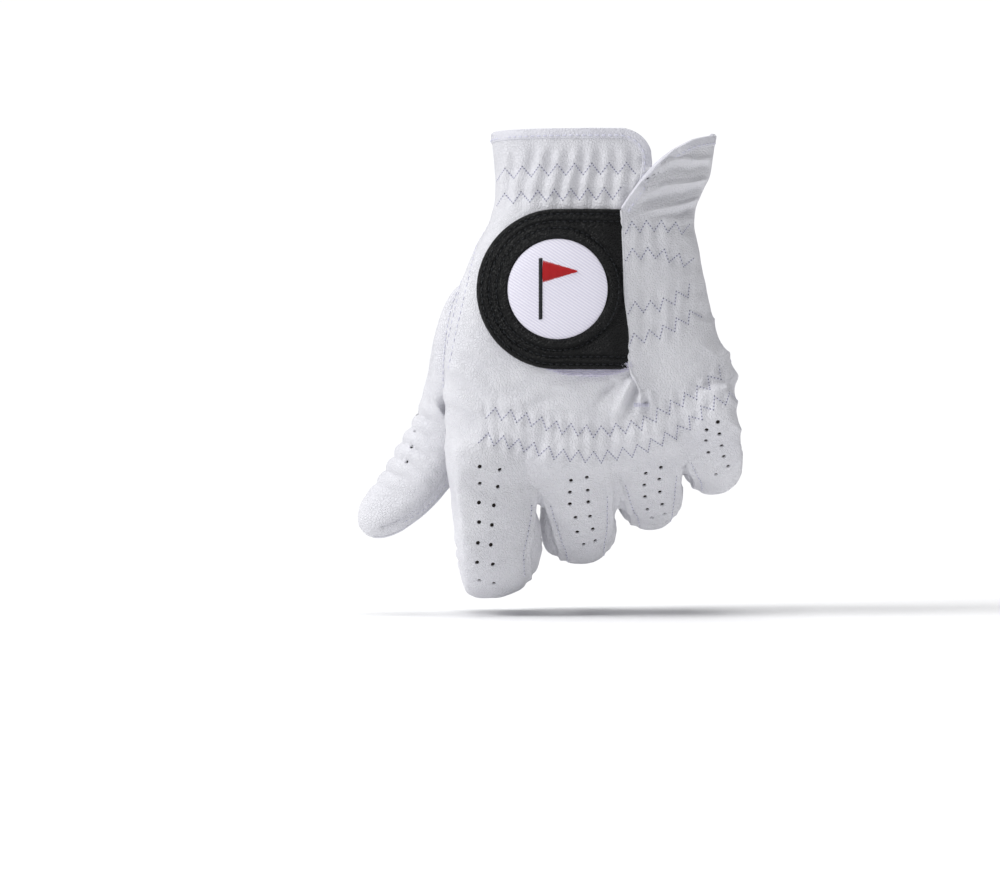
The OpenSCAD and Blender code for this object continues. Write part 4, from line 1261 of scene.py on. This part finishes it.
# ---------- the slit's folded edge ----------
# The side panel's leather is folded back on itself down the slit, so its edge is a thin roll that runs on
# over the knuckle fold.
slit_path, slit_up = [], []
slit_tree = surface_tree(hand_side, finger_row)
for z_at in np.linspace(-28.5, -95, 90):
    found = facing(slit_tree, float(slit_x(z_at)) + 0.4, z_at)
    if found:
        slit_path.append(found[0] - found[1] * 0.35 - np.array([0.4, 0, 0]))
        slit_up.append(found[1])
slit_path = np.array(slit_path)
for _ in range(6):
    slit_path[1:-1] = (slit_path[:-2] + slit_path[2:] + slit_path[1:-1]) / 3
placket_roll = sweep("placket_roll", slit_path, slit_up, rounded_section(-0.5, 0.5, -0.6, 0.6, 0.48, 5),
                     white_leather)
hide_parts("placket_binding")
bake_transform(placket_roll)


# ---------- bar tack ----------
# Eleven short white threads laid side by side across the slit's lower end, which keep it from tearing.
bar_runs = []
for k in range(11):
    x_at = 10.6 + 0.5 * k
    top, low = facing(whole_tree, x_at, -95.6), facing(whole_tree, x_at, -97.2)
    if top and low:
        bar_runs.append((top[0] + top[1] * 0.15, low[0] + low[1] * 0.15, unit(top[1] + low[1])))
placket_bar = threads("placket_bar", bar_runs, COARSE_THREAD, white_thread)
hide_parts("placket_bar")
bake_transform(placket_bar)


# ---------- inside: elastics and label ----------
# Woven elastic tapes sewn stretched behind the leather, so the leather gathers over them: at the wrist,
# on the side panel and at the knuckles. The size label is a short tape sewn inside the palm's cuff.


def closed_sheet(name, face, under, material, nodes, slot):
    """A thin sheet between two grids of points, closed round its edge."""
    r, c = face.shape[:2]
    faces = []
    for i in range(r - 1):
        for j in range(c - 1):
            q = [i * c + j, i * c + j + 1, (i + 1) * c + j + 1, (i + 1) * c + j]
            faces += [q, [r * c + m for m in q[::-1]]]
    ids = (list(range(c)) + [i * c + c - 1 for i in range(1, r)]
           + [(r - 1) * c + j for j in range(c - 2, -1, -1)] + [i * c for i in range(r - 2, 0, -1)])
    faces += [[ids[k], ids[k - 1], r * c + ids[k - 1], r * c + ids[k]] for k in range(len(ids))]
    obj = make_object(name, np.concatenate([face.reshape(-1, 3), under.reshape(-1, 3)]), faces, material)
    outward(obj)
    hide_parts(*nodes)
    return obj


def band(name, s_range, a_range, out, thick, material, nodes, slot, gather=0.18):
    """A tape inside the glove, between two shares of the hand's length and two angles round it."""
    ss, aa = np.meshgrid(np.linspace(*s_range, 14), np.linspace(*a_range, 110), indexing="ij")
    wave_of = gather * np.cos(aa * 3.4)
    grids = []
    for face_out in (out, out - thick):
        k = hand_at(ss)
        u, v = spread(cosd(aa)) * (k[..., 1] + face_out + wave_of), spread(sind(aa)) * (k[..., 3] + face_out + wave_of)
        grids.append(np.stack([k[..., 2] + u * cosd(k[..., 5]), k[..., 4] + v,
                               -ss * BODY_LEN + u * sind(k[..., 5])], -1))
    return closed_sheet(name, *grids, material, nodes, slot)


def cloth_material(name, light, dark, period_mm, angle, rough, strength=0.5):
    """Woven cloth: diagonal ribs a fraction of a millimetre apart, with a fine cross weave."""
    material, tree = new_material(name)
    place = node(tree, "ShaderNodeTexCoord")
    turn = node(tree, "ShaderNodeMapping", {"Rotation": (0.0, angle, 0.0)}, {"Vector": (place, "Object")})
    ribs = node(tree, "ShaderNodeTexWave",
                {"bands_direction": "Z", "Scale": 1000 / period_mm / 20 * 2 * math.pi, "Distortion": 0.25,
                 "Detail": 2.0, "Detail Scale": 60.0},
                {"Vector": (turn, "Vector")})
    fuzz = node(tree, "ShaderNodeTexNoise", {"Scale": 3500.0, "Detail": 2.0}, {"Vector": (place, "Object")})
    height = node(tree, "ShaderNodeMix", {"data_type": "FLOAT", "Factor": 0.3},
                  {"A": (ribs, "Fac"), "B": (fuzz, "Fac")})
    bump = node(tree, "ShaderNodeBump", {"Strength": strength, "Distance": 0.25 * MM},
                {"Height": (height, "Result")})
    # painted shade: the colour follows the ribs' height, darker in the grooves between them
    colour = node(tree, "ShaderNodeValToRGB", {"stops": [(0.2, linear(dark)), (0.7, linear(light))]},
                  {"Fac": (ribs, "Fac")})
    finish_material(tree, {"Roughness": rough, "Specular IOR Level": 0.25, "Sheen Weight": 0.25,
                           "Sheen Roughness": 0.5},
                    {"Base Color": (colour, "Color"), "Normal": (bump, "Normal")})
    return material


# Woven elastic: white ribs about 1.1 mm apart across the tape.
elastic_cloth = cloth_material("white_elastic", "e9e9ec", "c9c9d0", 1.1, math.pi / 2, 0.7, 0.8)
# Woven satin label tape: plain white and smooth.
label_cloth = cloth_material("white_label_tape", "f0f0f0", "e2e2e2", 0.5, 0.0, 0.6, 0.3)
INSIDE = -LEATHER - 0.7    # the tapes lie against the leather's inner face
wrist_band = band("wrist_elastic_band", (0.12, 0.31), (190, 279), INSIDE, 0.8, elastic_cloth,
                  ["wrist_elastic"], "elastic")
upper_band = band("side_elastic_upper", (0.35, 0.47), (290, 330), INSIDE - 0.4, 0.8, elastic_cloth,
                  ["side_elastics"], "elastic")
lower_band = band("side_elastic_lower", (0.6, 0.74), (290, 326), INSIDE - 1.2, 0.8, elastic_cloth, [], "elastic")
label = band("size_label_tape", (0.13, 0.26), (80, 102), INSIDE + 0.3, 0.3, label_cloth, ["size_label"],
             "label_cloth", gather=0.0)
for obj in (wrist_band, upper_band, lower_band, label):
    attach(obj, "hand")
knuckle_band = band("knuckle_elastic_band", (1.01, 1.08), (205, 335), INSIDE - 2.8, 0.8, elastic_cloth,
                    ["knuckle_elastic"], "elastic")
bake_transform(knuckle_band)


# ---------- closure tab ----------
# Black grained leather, cut round at its free end and sewn under the side panel at the other. A padded
# roll rings the woven disc, and two rows of stitching follow the outline.
# Its leather is deep black with a low broad sheen. The grain is drawn coarser than real, as on the hand.
black_leather = leather_material("black_grained_leather", "060709", "020304", 0.95, 0.4, 0.36, 0.0, 0.22)
# Black thread: a little glossier than the leather it lies on.
black_thread = thread_material("black_thread", "1d2024", 0.4)
TAB_DROP, TAB_H, TAB_L, SLIT_ANGLE = 56.0, 56.0, 51.0, 283.5
TAB_EDGE = float(hand_point(TAB_DROP / BODY_LEN, SLIT_ANGLE)[0]) + 0.3
SEWN_X = TAB_EDGE - 0.3
TAB_ROUND_X = TAB_EDGE - TAB_L + TAB_H / 2
DISC_X = TAB_ROUND_X + 0.4
TAB_OUT = 0.35 + 0.9 + 0.3 + 0.9 + 0.12    # it lies over the loop tape and its own hook tape


def tab_reach(angle):
    """How far the tab's outline is from the disc's middle in a direction."""
    c, s = math.cos(angle), math.sin(angle)
    if c > 0:
        return min((SEWN_X - DISC_X) / c, TAB_H / 2 / abs(s) if abs(s) > 1e-6 else 1e9)
    shift = DISC_X - TAB_ROUND_X
    b = -shift * c
    return b + math.sqrt(b * b - shift * shift + (TAB_H / 2) ** 2)


def under_panel(x, z):
    """The tab's sewn edge, moved on to follow the side panel's edge, and how far it goes down there."""
    share = np.clip((x - (DISC_X + 15)) / (SEWN_X - DISC_X - 15), 0, 1)
    moved = x + share * (slit_x(z) + 0.5 - SEWN_X)
    gap = slit_x(z) + 0.5 - moved
    return moved, TAB_OUT - (TAB_OUT - 0.35) * ease(1 - gap / 8.0)


def tab_profile(r, edge, round_edge):
    """Height of the tab's face: r from the disc's middle, edge from the outline, round_edge from its
    rounded part, where the rows of stitching run."""
    face = 1.0 - 0.9 * (1 - np.sqrt(np.clip(1 - np.clip(1 - edge / 0.9, 0, 1) ** 2, 0, 1)))
    roll = 0.9 * np.sqrt(np.clip(1 - ((r - 19.3) / 1.7) ** 2, 0, 1))
    valley = -0.3 * bump_at(r, 21.4, 0.6)
    rows_of = -0.42 * bump_at(round_edge, 1.8, 0.5) - 0.42 * bump_at(round_edge, 4.4, 0.5)
    puff = 0.25 * bump_at(round_edge, 3.1, 0.8) + 0.3 * bump_at(round_edge, 6.2, 1.0)
    outside = ease((r - 20.9) / 0.6)
    return face + roll + (valley + rows_of + puff) * outside


angles = np.radians(np.arange(0, 360, 1.0))
# corners of the sewn edge are exact
corners = [math.atan2(sy * TAB_H / 2, SEWN_X - DISC_X) % (2 * math.pi) for sy in (1, -1)]
angles = np.unique(np.concatenate([angles, corners]))
tab_points, tab_low = [], []
for a in angles:
    reach_here = tab_reach(a)
    outer_r = np.linspace(0, 1, 30)[1:]
    start_r = min(22.6, reach_here - 0.1)
    radii = np.concatenate([np.linspace(4, 16, 5), np.linspace(16.6, start_r, 26),
                            start_r + (reach_here - start_r) * outer_r ** 0.8])
    px, pz = DISC_X + radii * math.cos(a), -TAB_DROP + radii * math.sin(a)
    straight = np.minimum(np.minimum(SEWN_X - px, TAB_H / 2 - np.abs(pz + TAB_DROP)),
                          np.where(px < TAB_ROUND_X,
                                   TAB_H / 2 - np.hypot(px - TAB_ROUND_X, pz + TAB_DROP), 1e9))
    edge = np.maximum(straight, 0)
    round_edge = np.minimum(TAB_H / 2 - np.abs(pz + TAB_DROP), np.where(
        px < TAB_ROUND_X, TAB_H / 2 - np.hypot(px - TAB_ROUND_X, pz + TAB_DROP), 1e9))
    high = tab_profile(radii, edge, np.maximum(round_edge, 0))
    moved, out = under_panel(px, pz)
    face = np.stack([moved, back_y(moved, pz, out) - high, pz], 1)
    under = np.stack([moved, back_y(moved, pz, out), pz], 1)
    tab_points.append(face)
    tab_low.append(under)
m = len(tab_points[0])
cols = len(angles)
ring_rows = [np.array([tab_points[j][i] for j in range(cols)]) for i in range(m)]
low_rows = [np.array([tab_low[j][i] for j in range(cols)]) for i in range(m - 1, -1, -1)]
all_rows = ring_rows + low_rows
tab_leather = make_object("tab", np.concatenate(all_rows), tube_faces(len(all_rows), cols), black_leather)
outward(tab_leather)
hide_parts("tab_leather", "tab_piping")
tab_tree = surface_tree(tab_leather)

tab_runs = []


def outline_path(inset):
    """The tab's outline, inset, from the top of the sewn edge round the free end to its bottom."""
    r = TAB_H / 2 - inset
    path = [(TAB_EDGE - 0.6, -TAB_DROP + r)]
    path += [(TAB_ROUND_X + r * math.cos(math.radians(w)), -TAB_DROP + r * math.sin(math.radians(w)))
             for w in range(90, 271, 3)]
    return path + [(TAB_EDGE + 1.6, -TAB_DROP - r)]


for inset in (1.8, 4.4):
    points, normals_here = project_run(tab_tree, outline_path(inset), 2.35)
    tab_runs += seam_stitches(points, normals_here, 0.7, 0.1)
ROLL_ROW = 21.4           # radius of the stitch row outside the padded roll
ring_line = [(DISC_X + ROLL_ROW * math.cos(math.radians(w)), -TAB_DROP + ROLL_ROW * math.sin(math.radians(w)))
             for w in range(0, 361, 3)]
points, normals_here = project_run(tab_tree, ring_line, 2.0)
tab_runs += seam_stitches(points, normals_here, 0.72, 0.1)
tab_stitches = threads("tab_stitches", tab_runs, COARSE_THREAD, black_thread)


# ---------- woven disc ----------
# A disc of white twill with a slight lilac tint, a little domed over its padding and held inside the
# padded roll. Its diagonal ribs are drawn 0.95 mm apart, where real ones are about 0.5 mm.
badge_twill = cloth_material("white_twill", "eeecf7", "dcd9ea", 0.95, math.radians(-33), 0.7, 0.4)
disc_rows, disc_low = [], []
disc_out = TAB_OUT + 1.0
for r in np.concatenate([np.linspace(0.3, 16.6, 16), [17.0, 17.3, 17.5]]):
    w = np.radians(np.arange(0, 360, 3))
    px, pz = DISC_X + r * np.cos(w), -TAB_DROP + r * np.sin(w)
    dome = 0.55 * math.sqrt(max(0.0, 1 - (r / 17.55) ** 6)) + 0.25 * (1 - (r / 17.5) ** 2)
    disc_rows.append(np.stack([px, back_y(px, pz, disc_out) - dome, pz], 1))
    disc_low.append(np.stack([px, back_y(px, pz, disc_out) + 0.3, pz], 1))
disc_all = disc_rows + disc_low[::-1]
badge = make_object("badge_disc_twill", np.concatenate(disc_all), tube_faces(len(disc_all), 120), badge_twill)
outward(badge)
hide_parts("badge_disc")
badge_tree = surface_tree(badge)


# ---------- flagstick and pennant ----------
# Satin stitch on the disc, laid thread by thread: a black flagstick and a red pennant. Rayon thread is
# bright, with a soft gloss.
random.seed(7)
red_thread = thread_material("red_thread", "b3161c", 0.5)
PIN_H, PIN_W, FLAG_L, FLAG_H = 21.0, 1.3, 11.9, 8.75
PIN_X = DISC_X - FLAG_L / 2


def satin(name, lines, material, radius=COARSE_THREAD):
    runs = []
    for (ax, az), (bx, bz) in lines:
        p, q = facing(badge_tree, ax, az), facing(badge_tree, bx, bz)
        if p and q:
            runs.append((p[0] + p[1] * 0.12, q[0] + q[1] * 0.12, unit(p[1] + q[1])))
    return threads(name, runs, radius, material, sag=0.8)


top = -TAB_DROP + PIN_H / 2
pin_lines = [((PIN_X - PIN_W / 2 - 0.1, top - k * 0.36 - 0.12), (PIN_X + PIN_W / 2 + 0.1, top - k * 0.36 + 0.12))
             for k in range(int(PIN_H / 0.36) + 1)]
badge_pin = satin("badge_pin_thread", pin_lines, black_thread)
flag_lines = []
k = 0.0
while k < FLAG_L:
    share = k / FLAG_L
    half = mix(FLAG_H, 0.5, share) / 2
    mid = top - FLAG_H / 2
    fx = PIN_X + PIN_W / 2 + 0.25 + k
    flag_lines.append(((fx, mid - half + random.uniform(-0.08, 0.08)),
                       (fx + 0.1, mid + half + random.uniform(-0.08, 0.08))))
    k += 0.4
badge_flag = satin("badge_flag_thread", flag_lines, red_thread, 0.26)
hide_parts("badge_pin")
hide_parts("badge_flag")


# ---------- loop tape ----------
# Looped nylon pile tape, sewn to the back panel under the tab. It is white with a lilac cast, and its
# fuzz is drawn as short fine threads.


def pad_sheet(name, x_range, top_z, low_z, out, thick, material, nodes, slot):
    """A tape between two lines of the front view, lying on the back at a height."""
    xx, uu = np.meshgrid(np.linspace(*x_range, 90), np.linspace(0, 1, 70), indexing="ij")
    zz = mix(top_z(xx), low_z(xx), uu)
    rough = 0.09 * waves(np.stack([xx.ravel(), zz.ravel(), xx.ravel() * 0], 1), 1.6, 61).reshape(xx.shape)
    face = np.stack([xx, back_y(xx, zz, out) - thick - rough, zz], -1)
    return closed_sheet(name, face, np.stack([xx, back_y(xx, zz, out), zz], -1), material, nodes, slot)


def loop_low(x):
    """The loop tape's lower edge: it shows only in a shallow arc under the tab."""
    rounded = -TAB_DROP - np.sqrt(np.clip(25.5 ** 2 - (x - TAB_ROUND_X) ** 2, 0, None))
    return np.where(x < -21.5, rounded, -83.0 - 3.4 * np.clip(np.sin(math.pi * (x + 21.5) / 31.5), 0, 1) ** 0.6)


def loop_top(x):
    return mix(-36.0, -81.5, ease((x + 7) / 2.5))


loop_cloth = cloth_material("lilac_loop_tape", "e9e7f4", "d3d0e6", 0.8, 0.0, 0.85, 0.6)
loop_tape = pad_sheet("loop_tape", (-35.0, 9.2), loop_top, loop_low, 0.3, 0.9, loop_cloth, ["loop_pad"], "loop_tape")
loop_tree = surface_tree(loop_tape)
fuzz = []
fuzz_rng = np.random.default_rng(5)
for k in range(3400):
    px = fuzz_rng.uniform(-34.5, 9.2)
    low_edge = float(loop_low(px))
    pz = fuzz_rng.uniform(low_edge, low_edge + 4.5) if k % 3 else fuzz_rng.uniform(low_edge, float(loop_top(px)))
    found = facing(loop_tree, px, pz)
    if not found:
        continue
    d = fuzz_rng.normal(size=3)
    d = unit(d - (d @ found[1]) * found[1] * 0.6)
    fuzz.append((found[0], found[0] + d * 0.8 + found[1] * 0.25, found[1]))
loop_fuzz = threads("loop_tape_pile", fuzz, 0.09, loop_cloth, around=4)
for obj in (loop_tape, loop_fuzz):
    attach(obj, "hand")


# ---------- hook tape ----------
# Moulded black hook tape on the tab's underside, slightly glossy. Its hooks are fewer and thicker than
# real ones.
hook_plastic = thread_material("black_hook_tape", "0d0e10", 0.45)
HOOK_HALF, HOOK_PITCH = TAB_H * 0.3, 1.15
hook_tape = pad_sheet("hook_tape", (TAB_EDGE - TAB_L + 10, TAB_EDGE - 13), lambda x: -TAB_DROP + HOOK_HALF,
                      lambda x: -TAB_DROP - HOOK_HALF, 1.55, 0.75, hook_plastic, ["tab_hook_pad"], "hook_tape")
hooks = []
for px in np.arange(TAB_EDGE - TAB_L + 10.6, TAB_EDGE - 13.4, HOOK_PITCH):
    for pz in np.arange(-TAB_DROP - HOOK_HALF + 0.6, -TAB_DROP + HOOK_HALF - 0.4, HOOK_PITCH):
        base = np.array([px, float(back_y(px, pz, 1.55)), pz])
        hooks.append((base, base + np.array([0.25, 0.28, 0.0]), np.array([0, 0, 1.0])))
hook_studs = threads("hook_tape_hooks", hooks, 0.12, hook_plastic, around=4)
for obj in (tab_leather, tab_stitches, badge, badge_pin, badge_flag, hook_tape, hook_studs):
    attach(obj, "tab")


# ---------- floor, light and camera ----------
# A pale floor under a white studio: a broad soft key from the upper left, on the thumb side, and a wide
# soft light from above. The world is dimmer as a light than it looks to the camera.
floor_material, tree = new_material("pale_floor")
finish_material(tree, {"Base Color": linear("fbfbfc"), "Roughness": 0.95, "Specular IOR Level": 0.1}, {})
FLOOR_Z, FLOOR_HALF = -172, 4000
floor_corners = [[sx * FLOOR_HALF, sy * FLOOR_HALF, FLOOR_Z] for sx, sy in ((-1, -1), (1, -1), (1, 1), (-1, 1))]
floor = make_object("floor", floor_corners, [[0, 1, 2, 3]], floor_material, smooth=False)

world = bpy.data.worlds.new("white_studio")
bpy.context.scene.world = world
world.use_nodes = True
tree = world.node_tree
tree.nodes.clear()
path = node(tree, "ShaderNodeLightPath")
strength = node(tree, "ShaderNodeMix", {"data_type": "FLOAT", "A": 0.24, "B": 1.05},
                {"Factor": (path, "Is Camera Ray")})
background = node(tree, "ShaderNodeBackground", {"Color": (0.985, 0.99, 1.0, 1)}, {"Strength": (strength, "Result")})
node(tree, "ShaderNodeOutputWorld", links={"Surface": (background, "Background")})
bpy.context.scene.view_settings.view_transform = "Standard"


def sun(name, direction, power, angle):
    """A broad even light that shines along a direction."""
    light = bpy.data.lights.new(name, "SUN")
    light.energy, light.angle = power, math.radians(angle)
    obj = bpy.data.objects.new(name, light)
    bpy.context.scene.collection.objects.link(obj)
    obj.rotation_mode = "QUATERNION"
    obj.rotation_quaternion = Vector(direction).to_track_quat("-Z", "Y")


sun("key", (0.8, 0.36, -0.55), 2.0, 30)
sun("top", (0.1, 0.08, -1.0), 1.7, 50)

camera = bpy.data.cameras.new("camera")
camera_object = bpy.data.objects.new("camera", camera)
bpy.context.scene.collection.objects.link(camera_object)
bpy.context.scene.camera = camera_object
camera.lens, camera.sensor_width = 121.3, 36
camera.clip_start, camera.clip_end = 0.05, 20
camera_object.location = (-0.0368, -1.2, -0.1114)
camera_object.rotation_euler = (math.radians(90), 0, 0)
